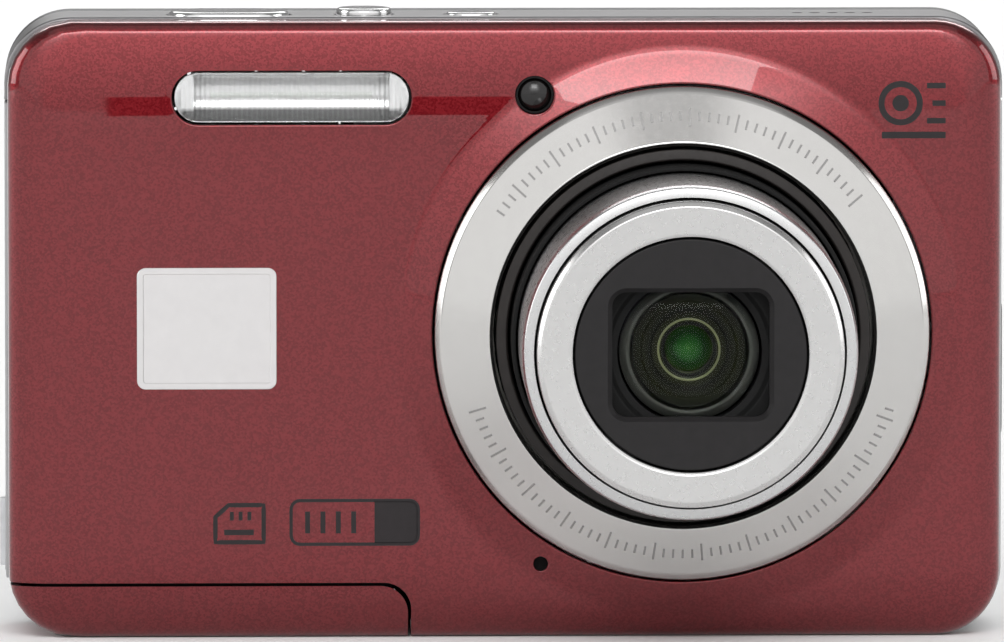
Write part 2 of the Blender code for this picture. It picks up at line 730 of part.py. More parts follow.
def zoom_group():
    profile = ring_profile(ZOOM_CELL_BORE_R, ZOOM_CELL_R, ZOOM_CELL_BACK, ZOOM_CELL_FRONT)
    lens_object("zoom_lens_cell", profile, "black_plastic")
    glass = dome(ZOOM_GLASS_R, ZOOM_GLASS_BACK, ZOOM_GLASS_FRONT, ZOOM_GLASS_BULGE)
    lens_object("zoom_lens", glass, "glass", False)
    profile = ring_profile(SHUTTER_BORE_R, ZOOM_CELL_R, SHUTTER_BACK, SHUTTER_FRONT)
    lens_object("shutter_unit", profile, "charcoal")


def focus_lens():
    profile = [(8.0, ahead(-11.9)), (8.0, ahead(-10.7)), (5.5, ahead(-10.3)), (4.6, ahead(-9.9))]
    lens_object("focus_lens", profile, "glass", False)


def toothed_outline(x, z, teeth, root_r, tip_r, turn, root_share=0.5, tip_share=0.22):
    """(x, z) pairs of a spur gear; the shares say how much of the pitch a tooth fills."""
    points = []
    pitch = 2 * math.pi / teeth
    for k in range(teeth):
        middle = turn + k * pitch
        for radius, angle in (
            (root_r, -root_share / 2),
            (tip_r, -tip_share / 2),
            (tip_r, tip_share / 2),
            (root_r, root_share / 2),
        ):
            at = middle + angle * pitch
            points.append((x + radius * math.cos(at), z + radius * math.sin(at)))
    return points


def drive_gears():
    module = 2 * GEAR_PITCH_R / GEAR_TEETH
    pinion_r = module * PINION_TEETH / 2
    towards = math.radians(PINION_ANGLE)
    distance = GEAR_PITCH_R + pinion_r
    x = LENS_X + distance * math.cos(towards)
    z = LENS_Z + distance * math.sin(towards)
    outline = toothed_outline(
        LENS_X, LENS_Z, GEAR_TEETH, GEAR_PITCH_R - TOOTH_ROOT, GEAR_PITCH_R + TOOTH_TIP, towards
    )
    rings = [[Vector((a, y, b)) for a, b in outline] for y in (GEAR_FRONT_Y, GEAR_REAR_Y)]
    ring = add_object("drive_ring", loft(rings), (LENS_X, GEAR_REAR_Y, LENS_Z), "white_gear")
    bore = FIXED_OUT_R + RING_CLEARANCE
    cut(ring, "ring_bore", turned([(bore, -12), (bore, 0)], closed=False))
    half_pitch = math.pi / PINION_TEETH
    outline = toothed_outline(
        x, z, PINION_TEETH, pinion_r - TOOTH_ROOT, pinion_r + TOOTH_TIP, towards + math.pi + half_pitch
    )
    rings = [[Vector((a, y, b)) for a, b in outline] for y in (GEAR_FRONT_Y, GEAR_REAR_Y)]
    pinion = add_object("zoom_pinion", loft(rings), (x, GEAR_REAR_Y, z), "white_gear")
    low, high = (x, GEAR_REAR_Y - 0.5, z), (x, PINION_SHAFT_END_Y, z)
    join(pinion, "pinion_shaft", rod(low, high, PINION_SHAFT_R, 12))
    profile = [(MOTOR_R, MOTOR_REAR_Y), (MOTOR_R, MOTOR_FRONT_Y), (MOTOR_R - GAP, MOTOR_FRONT_Y - GAP)]
    motor = turned(profile, x=x, z=z, sides=20, closed=False)
    add_object("zoom_motor", motor, (x, MOTOR_REAR_Y, z), "steel")


def lens_base():
    """The plate that closes the lens at the back and carries the sensor in its pocket."""
    plate = soft_block(LENS_BASE_LOW, LENS_BASE_HIGH, 0.4, 1)
    obj = add_object("lens_base", plate, (LENS_X, LENS_BASE_LOW[1], LENS_Z), "black_plastic")
    half_w, half_h = SENSOR_POCKET
    low, high = (LENS_X - half_w, 0, LENS_Z - half_h), (LENS_X + half_w, 9, LENS_Z + half_h)
    cut(obj, "sensor_pocket", block(low, high))
    for name, half_w, half_h, front, rear, finish in SENSOR_PIECES:
        low = (LENS_X - half_w, front, LENS_Z - half_h)
        high = (LENS_X + half_w, rear, LENS_Z + half_h)
        add_object(name, block(low, high), (LENS_X, front, LENS_Z), finish)


# Flash, lamp, microphone and speaker


def flash_unit():
    window = (FLASH_X, FLASH_Z, FLASH_W - 0.4, FLASH_H - 0.4)
    layers = [(-7.9, 0.0), (-9.1, 0.0), (-9.45, 0.5)]
    rings = []
    for y, inset in layers:
        x, z, width, height = window
        outline = rounded_outline(
            x - width / 2 + inset,
            x + width / 2 - inset,
            z - height / 2 + inset,
            z + height / 2 - inset,
            height / 2 - 0.2 - inset,
            4,
        )
        rings.append([Vector((a, y, b)) for a, b in outline])
    add_object("flash_window", loft(rings), (FLASH_X, -7.9, FLASH_Z), "clear_plastic")
    low, high = (FLASH_X - 9.2, -7.6, FLASH_Z - 2.2), (FLASH_X + 9.2, -3.0, FLASH_Z + 2.2)
    obj = add_object("flash_reflector", block(low, high), (FLASH_X, -3.0, FLASH_Z), "reflector")
    trough = []
    for y, half_w, half_h in ((-8.6, 8.9, 2.1), (-3.5, 7.9, 0.9)):
        corners = ((1, 1), (-1, 1), (-1, -1), (1, -1))
        trough.append([Vector((FLASH_X + a * half_w, y, FLASH_Z + b * half_h)) for a, b in corners])
    cut(obj, "flash_trough", loft(trough))
    low, high = (FLASH_X - 7.4, -4.9, FLASH_Z), (FLASH_X + 7.4, -4.9, FLASH_Z)
    add_object("flash_tube", rod(low, high, 0.75, 12), low, "glass")
    capacitor = rod(CAPACITOR_LOW, CAPACITOR_HIGH, CAPACITOR_R, 20)
    add_object("flash_capacitor", capacitor, CAPACITOR_LOW, "black_plastic")


def small_fittings():
    profile = [(LAMP_R - 0.1, -7.3), (LAMP_R - 0.1, -8.7), (LAMP_R - 0.5, -8.95), (0.4, -9.05)]
    lamp = turned(profile, x=LAMP_X, z=LAMP_Z, sides=20, closed=False)
    add_object("focus_lamp", lamp, (LAMP_X, -7.3, LAMP_Z), "lamp_black")
    low, high = (MIC_X, -8.0, MIC_Z), (MIC_X, -6.4, MIC_Z)
    add_object("microphone", rod(low, high, 1.9, 16), low, "steel")
    speaker = soft_block(SPEAKER_LOW, SPEAKER_HIGH, SOFT_EDGE, 1)
    add_object("speaker", speaker, SPEAKER_LOW, "black_plastic")


# Screen, boards, battery and card


def screen():
    x, z = (SCREEN_LEFT + SCREEN_RIGHT) / 2, (SCREEN_BOTTOM + SCREEN_TOP) / 2
    width, height = SCREEN_RIGHT - SCREEN_LEFT, SCREEN_TOP - SCREEN_BOTTOM
    window = front_plate(x, z, width, height, SCREEN_CORNER_R, SCREEN_FRONT_Y, SCREEN_REAR_Y)
    add_object("screen_window", window, (x, SCREEN_FRONT_Y, z), "screen_black")
    low = (SCREEN_LEFT + MODULE_SIDE, MODULE_FRONT_Y, SCREEN_BOTTOM + MODULE_END)
    high = (SCREEN_RIGHT - MODULE_SIDE, MODULE_REAR_Y, SCREEN_TOP - MODULE_END)
    add_object("screen_module", block(low, high), (x, MODULE_FRONT_Y, z), "steel")


def boards():
    board = block(MAIN_BOARD_LOW, MAIN_BOARD_HIGH)
    main = add_object("main_board", board, MAIN_BOARD_LOW, "board_green")
    for name, (low, high) in CHIPS.items():
        join(main, name, block(low, high))
    add_object("top_board", block(TOP_BOARD_LOW, TOP_BOARD_HIGH), TOP_BOARD_LOW, "board_green")


def power_and_card():
    battery = soft_block(BATTERY_LOW, BATTERY_HIGH, SOFT_EDGE, 1)
    add_object("battery", battery, BATTERY_LOW, "battery_wrap")
    case = block(BATTERY_BOX_LOW, BATTERY_BOX_HIGH)
    box = add_object("battery_box", case, BATTERY_BOX_LOW, "black_plastic")
    cut(box, "battery_room", block(BATTERY_ROOM_LOW, BATTERY_ROOM_HIGH))
    add_object("memory_card", block(CARD_LOW, CARD_HIGH), CARD_LOW, "card_blue")
    case = block(CARD_SOCKET_LOW, CARD_SOCKET_HIGH)
    socket = add_object("card_socket", case, CARD_SOCKET_LOW, "steel")
    cut(socket, "card_room", block(CARD_ROOM_LOW, CARD_ROOM_HIGH))


def port():
    plug = add_object("usb_socket", soft_block(USB_LOW, USB_HIGH, SOFT_EDGE, 1), USB_LOW, "steel")
    cut(plug, "usb_mouth", block(USB_MOUTH_LOW, USB_MOUTH_HIGH))
    cover = soft_block(PORT_COVER_LOW, PORT_COVER_HIGH, PORT_EDGE, 1)
    add_object("port_cover", cover, PORT_HINGE, "rubber")


# Controls


def top_buttons():
    for name, button in (
        ("shutter_button", SHUTTER_BUTTON),
        ("power_button", POWER_BUTTON),
        ("mode_button", MODE_BUTTON),
    ):
        x, y, width, depth, top = button
        layers = ((0, BUTTON_FOOT_Z), (0, top - 0.35), (0.12, top - 0.1), (0.4, top))
        cap = top_plate(x, y, width, depth, depth / 2 - 0.05, layers)
        add_object(name, cap, (x, y, BUTTON_FOOT_Z), "button_chrome")


def rear_buttons():
    for name, (x, z) in REAR_BUTTONS.items():
        r = REAR_BUTTON_R
        profile = [(r, 6.9), (r, 9.35), (r - 0.2, 9.55), (r - 0.7, 9.6)]
        cap = turned(profile, x=x, z=z, sides=REAR_BUTTON_SIDES, closed=False)
        add_object(name, cap, (x, 6.9, z), "key_plastic")
    rocker = front_plate(ROCKER_X, ROCKER_Z, ROCKER_W, ROCKER_H, 2.4, 7.2, 9.9)
    add_object("zoom_rocker", rocker, (ROCKER_X, 8.2, ROCKER_Z), "key_plastic")
    profile = [(PAD_BORE_R, 7.9), (PAD_R, 7.9), (PAD_R, 9.3), (PAD_R - 0.6, 9.6), (PAD_BORE_R, 9.5)]
    pad = turned(profile, x=PAD_X, z=PAD_Z, sides=40)
    add_object("navigation_pad", pad, (PAD_X, 8.7, PAD_Z), "key_plastic")
    profile = [(PAD_BORE_R + 0.1, 6.8), (PAD_R - 1, 6.8), (PAD_R - 1, 7.3), (PAD_BORE_R + 0.1, 7.3)]
    plate = turned(profile, x=PAD_X, z=PAD_Z, sides=24)
    add_object("pad_plate", plate, (PAD_X, 7.05, PAD_Z), "steel")
    profile = [(SET_R, 6.9), (SET_R, 9.4), (SET_R - 0.3, 9.6), (SET_R - 1.0, 9.7)]
    middle = turned(profile, x=PAD_X, z=PAD_Z, sides=24, closed=False)
    add_object("set_button", middle, (PAD_X, 6.9, PAD_Z), "key_plastic")


def build():
    clear_scene()
    front_cover()
    top_cover()
    middle_frame()
    rear_cover()
    battery_door()
    door_hinge()
    strap_lug()
    tripod_socket()
    dress_ring()
    light_shield_ring()
    tube("fixed_barrel", FIXED_OUT_R, FIXED_IN_R, ahead(-0.9), FIXED_REAR_Y, "black_plastic")
    guide_rear = ahead(GUIDE_AHEAD - GUIDE_LENGTH)
    tube("guide_barrel", GUIDE_OUT_R, GUIDE_IN_R, ahead(GUIDE_AHEAD), guide_rear, "charcoal")
    outer_barrel()
    inner_barrel()
    front_mask()
    barrier_blades()
    front_lens_group()
    zoom_group()
    focus_lens()
    drive_gears()
    lens_base()
    flash_unit()
    small_fittings()
    screen()
    boards()
    power_and_card()
    port()
    top_buttons()
    rear_buttons()


build()
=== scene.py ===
"""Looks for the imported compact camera: fine meshes, procedural materials, studio light and camera.

Sizes are in millimetres in the shared frame, and MM turns them into metres. "Ahead" is a distance
in front of the casing's front face, along -Y. A shape is a pair: its points and its faces.
"""

import math

import bmesh
import bpy
import numpy as np
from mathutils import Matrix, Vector


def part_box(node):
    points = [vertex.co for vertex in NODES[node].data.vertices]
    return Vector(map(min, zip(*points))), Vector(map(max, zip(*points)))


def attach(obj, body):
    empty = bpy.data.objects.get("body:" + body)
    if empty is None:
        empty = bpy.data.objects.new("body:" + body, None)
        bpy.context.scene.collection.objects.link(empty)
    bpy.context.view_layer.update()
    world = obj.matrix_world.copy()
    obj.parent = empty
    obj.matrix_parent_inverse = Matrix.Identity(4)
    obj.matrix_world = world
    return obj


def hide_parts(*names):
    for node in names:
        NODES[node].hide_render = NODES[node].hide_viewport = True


MM = 0.001
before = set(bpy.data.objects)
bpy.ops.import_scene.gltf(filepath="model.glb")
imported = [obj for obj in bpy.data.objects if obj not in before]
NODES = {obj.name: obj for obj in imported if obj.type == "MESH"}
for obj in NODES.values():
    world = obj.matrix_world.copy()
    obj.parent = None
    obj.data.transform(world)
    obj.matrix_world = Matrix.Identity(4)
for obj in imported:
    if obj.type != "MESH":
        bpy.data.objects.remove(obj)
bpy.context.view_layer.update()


def low(node):
    return np.array(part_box(node)[0]) / MM


def high(node):
    return np.array(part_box(node)[1]) / MM


def middle(node):
    return (low(node) + high(node)) / 2


def facing(node, axis):
    """A node's centre and size across an axis, then its start and end along it."""
    lo, hi = low(node), high(node)
    a, b, along = {"X": (1, 2, 0), "Y": (0, 2, 1), "Z": (0, 1, 2)}[axis]
    centre = ((lo[a] + hi[a]) / 2, (lo[b] + hi[b]) / 2)
    return centre, (hi[a] - lo[a], hi[b] - lo[b]), lo[along], hi[along]


# Sizes read from the frame

COVER_HALF, COVER_SEAM_Y, COVER_TOP = high("front_cover") + (0, 0, 0.3)
BAND_HALF, BAND_REAR_Y, BODY_TOP = high("top_cover") - (0.2, 0, 0)
BAND_FRONT_Y, TOP_SPLIT = low("top_cover")[1:]
REAR_FRONT_Y, REAR_Y = low("rear_cover")[1], high("rear_cover")[1]
DOOR_END, DOOR_REAR, DOOR_TOP = high("battery_door")
LENS_X, _, LENS_Z = middle("dress_ring")
FLASH, (FLASH_W, FLASH_H), _, FLASH_BACK = facing("flash_window", "Y")
LAMP, MIC = facing("focus_lamp", "Y")[0], facing("microphone", "Y")[0]
SMALL_KEYS = ("record_button", "menu_button", "playback_button", "delete_button", "info_button")

# The casing's own sizes

FRONT_Y = -9.25
CORNER_R = 6.0
ROLL_DEPTH = 2.6
OPENING_R = 22.72
BOSS_R = 26.3
BOSS_TOP_R = 22.92
BOSS_AHEAD = 0.74
COVER_WALL = 0.9
BAND_WALL = 1.2
DOOR_CORNER = 2.5
DOOR_GAP = 0.15
REAR_ROLL = 2.2
REAR_ROLL_DEPTH = 1.6


def ahead(distance):
    return FRONT_Y - distance


# Mesh helpers


def mesh_object(name, shape, body=None, look=None, sharp=35.0):
    """An object in the frame from a shape; without a body it is a blank or a cutter."""
    points, faces = shape
    mesh = bpy.data.meshes.new(name)
    mesh.from_pydata([tuple(float(c) * MM for c in p) for p in points], [], faces)
    bm = bmesh.new()
    bm.from_mesh(mesh)
    bmesh.ops.recalc_face_normals(bm, faces=bm.faces)
    bm.to_mesh(mesh)
    bm.free()
    obj = bpy.data.objects.new(name, mesh)
    bpy.context.scene.collection.objects.link(obj)
    return dress(obj, body, look, sharp)


def dress(obj, body, look, sharp=35.0):
    """Finishes a piece and lets it ride on its body; one named after a node stands for that node."""
    if look is not None:
        obj.data.materials.clear()
        obj.data.materials.append(look)
    obj.data.shade_smooth()
    obj.data.set_sharp_from_angle(angle=math.radians(sharp))
    if body:
        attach(obj, body)
        node = obj.name.removeprefix("fine_")
        if node in NODES:
            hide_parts(node)
        even = obj.modifiers.new("weighted", "WEIGHTED_NORMAL")
        even.keep_sharp = True
        even.weight = 80
    return obj


def cut(obj, shape, operation="DIFFERENCE"):
    """Takes a shape out of an object, or keeps only what lies in it."""
    cutter = mesh_object("cutter", shape)
    step = obj.modifiers.new("cut", "BOOLEAN")
    step.operation = operation
    step.solver = "EXACT"
    step.object = cutter
    bpy.context.view_layer.update()
    graph = bpy.context.evaluated_depsgraph_get()
    made = bpy.data.meshes.new_from_object(obj.evaluated_get(graph))
    obj.modifiers.remove(step)
    obj.data = made
    bpy.data.objects.remove(cutter)


def skin(rings, closed=False, caps=True):
    """The shape of rings with equal counts, joined in turn."""
    count = len(rings[0])
    points = [p for ring in rings for p in ring]
    faces = []
    for i in range(len(rings) if closed else len(rings) - 1):
        a, b = i * count, (i + 1) % len(rings) * count
        for k in range(count):
            n = (k + 1) % count
            faces.append((a + k, a + n, b + n, b + k))
    if caps and not closed:
        faces.append(tuple(range(count))[::-1])
        faces.append(tuple(range((len(rings) - 1) * count, len(rings) * count)))
    return points, faces


def joined(shapes):
    """Several shapes as one, still apart."""
    points, faces = [], []
    for more_points, more_faces in shapes:
        start = len(points)
        points += more_points
        faces += [tuple(v + start for v in face) for face in more_faces]
    return points, faces


def fillet(profile, closed, steps=5):
    """Rounds the corners of (radius, y, setback) points."""
    out = []
    count = len(profile)
    for k, (r, y, cutback) in enumerate(profile):
        ends = not closed and k in (0, count - 1)
        if cutback <= 0 or ends:
            out.append((r, y))
            continue
        here = np.array((r, y))
        before = np.array(profile[k - 1][:2]) - here
        after = np.array(profile[(k + 1) % count][:2]) - here
        start = here + before / np.linalg.norm(before) * cutback
        stop = here + after / np.linalg.norm(after) * cutback
        for j in range(steps + 1):
            t = j / steps
            out.append(tuple((1 - t) ** 2 * start + 2 * t * (1 - t) * here + t**2 * stop))
    return out


def place(u, v, along, axis):
    return {"X": (along, u, v), "Y": (u, along, v), "Z": (u, v, along)}[axis]


def turned(profile, centre, closed=True, sides=160, axis="Y"):
    """A (radius, along) profile turned round a line along an axis."""
    u, v = centre
    points, faces, rows = [], [], []
    for r, along in profile:
        if r < 1e-5:
            rows.append([len(points)] * sides)
            points.append(place(u, v, along, axis))
            continue
        rows.append(list(range(len(points), len(points) + sides)))
        for k in range(sides):
            a = 2 * math.pi * k / sides
            points.append(place(u + r * math.cos(a), v + r * math.sin(a), along, axis))
    pairs = list(zip(rows, rows[1:]))
    if closed:
        pairs.append((rows[-1], rows[0]))
    for a, b in pairs:
        for k in range(sides):
            n = (k + 1) % sides
            corner = list(dict.fromkeys((a[k], a[n], b[n], b[k])))
            if len(corner) > 2:
                faces.append(tuple(corner))
    if not closed:
        faces += [tuple(row) for row in (rows[0], rows[-1]) if row[0] != row[-1]]
    return points, faces


def lathe(name, profile, body, look, centre=(LENS_X, LENS_Z), closed=True, sides=160):
    """A turned piece with rounded corners, round the lens axis unless it has its own centre."""
    shape = turned(fillet(profile, closed), centre, closed, sides)
    return mesh_object(f"fine_{name}", shape, body, look, 32.0)


def round_outline(left, right, bottom, top, radius, steps=10):
    """A rounded rectangle as (across, up) pairs; radius is one number or four, from the top right."""
    radii = radius if isinstance(radius, tuple) else (radius,) * 4
    corners = (
        (right - radii[0], top - radii[0], radii[0], 0),
        (left + radii[1], top - radii[1], radii[1], 90),
        (left + radii[2], bottom + radii[2], radii[2], 180),
        (right - radii[3], bottom + radii[3], radii[3], 270),
    )
    out = []
    for a, b, r, start in corners:
        for k in range(steps + 1):
            angle = math.radians(start + 90 * k / steps)
            out.append((a + r * math.cos(angle), b + r * math.sin(angle)))
    return out


def layered(centre, size, radius, layers, axis="Y", steps=10):
    """A rounded rectangle or stadium built from (inset, height) layers along an axis."""
    (a, b), (w, h) = centre, size
    rings = []
    for inset, along in layers:
        sides = a - w / 2 + inset, a + w / 2 - inset, b - h / 2 + inset, b + h / 2 - inset
        outline = round_outline(*sides, max(radius - inset, 0.05), steps)
        rings.append([place(u, v, along, axis) for u, v in outline])
    return skin(rings)


def quarter(steps, first=0):
    """Shares of a rounded edge, (across, along), from its side to its face."""
    turns = [math.pi / 2 * k / steps for k in range(first, steps + 1)]
    return [(1 - math.cos(a), 1 - math.sin(a)) for a in turns]


def slab(start, end, r, steps=4):
    """(inset, height) layers of a slab whose far face has an edge rounded by r."""
    towards = 1 if end > start else -1
    return [(0.0, start)] + [(r * p, end - towards * r * q) for p, q in quarter(steps)]


def mouth(centre, size, radius, face, inside, soft=0.15, axis="Y", steps=4, round_steps=12, spread=0.0):
    """A cutter from inside out through a face, with a softened edge that may spread past the face."""
    out = 1 if face > inside else -1
    layers = [(0.0, inside), (0.0, face - out * soft)]
    layers += [(-soft * p, face - out * soft * q) for p, q in quarter(steps, 1)]
    if spread:
        layers.append((-soft - spread, face + out * 0.15))
    layers.append((-soft - spread, face + out * 3))
    return layered(centre, size, radius, layers, axis, round_steps)


def block(lo, hi):
    points = [(x, y, z) for x in (lo[0], hi[0]) for y in (lo[1], hi[1]) for z in (lo[2], hi[2])]
    faces = [(0, 1, 3, 2), (4, 6, 7, 5), (0, 4, 5, 1), (2, 3, 7, 6), (0, 2, 6, 4), (1, 5, 7, 3)]
    return points, faces


# Material helpers


class Look:
    """A node material built up step by step around one Principled shader."""

    def __init__(self, name, colour, rough, metal=0.0, coat=0.0, coat_rough=0.03, ior=1.5, gleam=0.5):
        self.made = bpy.data.materials.new(name)
        self.made.use_nodes = True
        self.tree = self.made.node_tree
        self.shader = self.tree.nodes["Principled BSDF"]
        self.set("Base Color", (*colour, 1.0))
        self.set("Roughness", rough)
        self.set("Metallic", metal)
        self.set("Coat Weight", coat)
        self.set("Coat Roughness", coat_rough)
        self.set("IOR", ior)
        self.set("Specular IOR Level", gleam)
        self.height = None
        self.colour = colour
        self.rough = rough

    def set(self, socket, value):
        self.shader.inputs[socket].default_value = value

    def node(self, kind, **values):
        made = self.tree.nodes.new(kind)
        for key, value in values.items():
            if key in made.inputs:
                made.inputs[key].default_value = value
            else:
                setattr(made, key, value)
        return made

    def link(self, a, b):
        self.tree.links.new(a, b)

    def coords(self):
        return self.node("ShaderNodeTexCoord").outputs["Object"]

    def math(self, operation, *values):
        made = self.node("ShaderNodeMath", operation=operation)
        for socket, value in zip(made.inputs, values):
            if isinstance(value, (int, float)):
                socket.default_value = value
            else:
                self.link(value, socket)
        return made.outputs[0]

    def split(self, centre):
        """Object coordinates in millimetres from an (x, z) centre, as three sockets."""
        moved = self.node("ShaderNodeVectorMath", operation="SUBTRACT")
        self.link(self.coords(), moved.inputs[0])
        moved.inputs[1].default_value = (centre[0] * MM, 0, centre[1] * MM)
        scaled = self.node("ShaderNodeVectorMath", operation="SCALE", Scale=1 / MM)
        self.link(moved.outputs[0], scaled.inputs[0])
        parts = self.node("ShaderNodeSeparateXYZ")
        self.link(scaled.outputs[0], parts.inputs[0])
        return parts.outputs["X"], parts.outputs["Y"], parts.outputs["Z"]

    def radius(self):
        """The distance from the lens axis."""
        x, _, z = self.split((LENS_X, LENS_Z))
        squares = self.math("MULTIPLY", x, x), self.math("MULTIPLY", z, z)
        return self.math("SQRT", self.math("ADD", *squares))

    def noise(self, per_mm, detail=3.0):
        made = self.node("ShaderNodeTexNoise", Scale=per_mm / MM, Detail=detail)
        self.link(self.coords(), made.inputs["Vector"])
        return made.outputs["Fac"]

    def rings(self, per_mm):
        """Fine turned lines round the lens axis."""
        made = self.node("ShaderNodeTexNoise", noise_dimensions="1D", Detail=2.0)
        made.inputs["Scale"].default_value = per_mm
        self.link(self.radius(), made.inputs["W"])
        return made.outputs["Fac"]

    def cells(self, per_mm):
        made = self.node("ShaderNodeTexVoronoi", Scale=per_mm / MM)
        self.link(self.coords(), made.inputs["Vector"])
        parts = self.node("ShaderNodeSeparateColor")
        self.link(made.outputs["Color"], parts.inputs[0])
        return parts.outputs[0]

    def ramp(self, factor, start=0.25, stop=0.75, low_value=0.0, high_value=1.0, kind="LINEAR"):
        made = self.node("ShaderNodeMapRange", interpolation_type=kind)
        self.link(factor, made.inputs["Value"])
        ends = {"From Min": start, "From Max": stop, "To Min": low_value, "To Max": high_value}
        for socket, value in ends.items():
            made.inputs[socket].default_value = value
        return made.outputs[0]

    def two_tone(self, factor, dark, light):
        mix = self.node("ShaderNodeMix", data_type="RGBA")
        mix.inputs[6].default_value = (*dark, 1.0)
        mix.inputs[7].default_value = (*light, 1.0)
        self.link(factor, mix.inputs[0])
        self.link(mix.outputs[2], self.shader.inputs["Base Color"])

    def tint(self, factor, spread, pale=0.0):
        """Lets the colour lighten and darken with a pattern, the light end turning paler."""
        dark = [c * (1 - spread) for c in self.colour]
        light = [min(c * (1 + spread), 1.0) for c in self.colour]
        light = [min(c + pale * max(light), 1.0) for c in light]
        self.two_tone(self.ramp(factor), dark, light)

    def rough_by(self, factor, spread):
        ends = max(self.rough - spread, 0.02), self.rough + spread
        self.link(self.ramp(factor, 0.25, 0.75, *ends), self.shader.inputs["Roughness"])

    def bump(self, factor, depth_mm, strength=1.0):
        made = self.node("ShaderNodeBump", Strength=strength)
        made.inputs["Distance"].default_value = depth_mm * MM
        self.link(factor, made.inputs["Height"])
        if self.height is not None:
            self.link(self.height, made.inputs["Normal"])
        self.height = made.outputs["Normal"]
        self.link(self.height, self.shader.inputs["Normal"])

    def colour_by_radius(self, stops, outer):
        """Colours the surface by its distance from the lens axis, as a share of outer."""
        made = self.node("ShaderNodeValToRGB")
        line = made.color_ramp
        while len(line.elements) < len(stops):
            line.elements.new(0.5)
        for element, (at, colour) in zip(line.elements, stops):
            element.position = at
            element.color = (*colour, 1.0)
        self.link(self.math("DIVIDE", self.radius(), outer), made.inputs["Fac"])
        self.link(made.outputs["Color"], self.shader.inputs["Base Color"])


def red_paint():
    look = Look("red_metallic_paint", (0.155, 0.0074, 0.0112), 0.33, 1.0, coat=1.0, coat_rough=0.02)
    flakes = look.cells(6.0)
    look.tint(flakes, 0.16, 0.02)
    look.rough_by(look.noise(0.6), 0.03)
    look.bump(flakes, 0.0026, 0.6)
    return look.made


def satin_metal(name, colour, rough, grain, spread, depth, turned_lines=0.0):
    look = Look(name, colour, rough, 1.0)
    fine = look.noise(grain, 1.0)
    look.tint(look.noise(0.8), spread)
    look.rough_by(look.noise(2.0), 0.015)
    look.bump(fine, depth, 0.25)
    if turned_lines:
        look.bump(look.rings(9.0), turned_lines, 0.6)
    return look.made


def moulded(name, colour, rough, grain, depth, spread=0.12, gleam=0.5):
    look = Look(name, colour, rough, gleam=gleam)
    look.tint(look.noise(1.2), spread)
    look.rough_by(look.noise(3.0), 0.06)
    look.bump(look.noise(grain, 3.0), depth, 0.7)
    return look.made


def gloss_black():
    look = Look("lamp_window", (0.006, 0.005, 0.005), 0.15, coat_rough=0.02)
    look.tint(look.noise(0.5), 0.2)
    look.rough_by(look.noise(1.5), 0.02)
    look.bump(look.noise(0.25, 1.0), 0.004, 0.2)
    return look.made


def clear_glass(name, colour, rough, ior):
    look = Look(name, colour, rough, ior=ior)
    look.set("Transmission Weight", 1.0)
    look.tint(look.noise(0.3), 0.03)
    return look.made


RED = red_paint()
TOP_METAL = satin_metal("grey_anodised_top", (0.21, 0.205, 0.208), 0.36, 14.0, 0.05, 0.0015)
FRAME_PLASTIC = satin_metal("silver_grey_frame", (0.36, 0.355, 0.36), 0.38, 12.0, 0.04, 0.0015)
REAR_PLASTIC = moulded("rear_shell_plastic", (0.018, 0.018, 0.019), 0.44, 8.0, 0.014)
RING_SILVER = satin_metal("satin_ring_silver", (0.56, 0.55, 0.537), 0.2, 12.0, 0.015, 0.00005, 0.0002)
BARREL_SILVER = satin_metal("barrel_side_silver", (0.56, 0.56, 0.56), 0.28, 14.0, 0.015, 0.00008)
FACE_SILVER = satin_metal("turned_face_silver", (0.585, 0.58, 0.575), 0.28, 14.0, 0.012, 0.00006, 0.00025)
CHARCOAL = moulded("charcoal_ring_plastic", (0.02, 0.017, 0.016), 0.46, 9.0, 0.01, 0.15, 0.25)
MASK_BLACK = moulded("lens_mask_plastic", (0.01, 0.009, 0.0095), 0.46, 8.0, 0.008, 0.15, 0.26)
DEEP_BLACK = moulded("inner_black_plastic", (0.007, 0.007, 0.007), 0.6, 6.0, 0.01, gleam=0.15)
RETAINER = satin_metal("lens_retainer_olive", (0.2, 0.21, 0.12), 0.34, 14.0, 0.05, 0.0008)
INK = moulded("printed_ink", (0.017, 0.014, 0.015), 0.5, 9.0, 0.006, 0.1, 0.25)
WHITE_INK = moulded("white_ink", (0.62, 0.62, 0.62), 0.5, 9.0, 0.004, 0.05)
RED_INK = moulded("red_ink", (0.5, 0.02, 0.02), 0.5, 9.0, 0.004, 0.05)
TICKS = satin_metal("engraved_ticks", (0.3, 0.295, 0.29), 0.4, 12.0, 0.04, 0.0008)
BADGE = satin_metal("plain_badge_silver", (0.66, 0.645, 0.645), 0.34, 12.0, 0.02, 0.0008)
CHROME = satin_metal("button_chrome", (0.74, 0.74, 0.74), 0.16, 12.0, 0.02, 0.001)
KEYS = moulded("rear_key_plastic", (0.05, 0.05, 0.053), 0.34, 9.0, 0.008)
RUBBER = moulded("port_rubber", (0.045, 0.045, 0.047), 0.62, 5.0, 0.016)
STEEL = satin_metal("plated_steel", (0.56, 0.565, 0.58), 0.3, 9.0, 0.06, 0.004)
LAMP_BLACK = gloss_black()
CLEAR = clear_glass("flash_clear_plastic", (0.99, 0.99, 0.99), 0.03, 1.4)
GLASS = clear_glass("coated_glass", (0.93, 0.96, 0.92), 0.0, 1.12)


# Casing surfaces


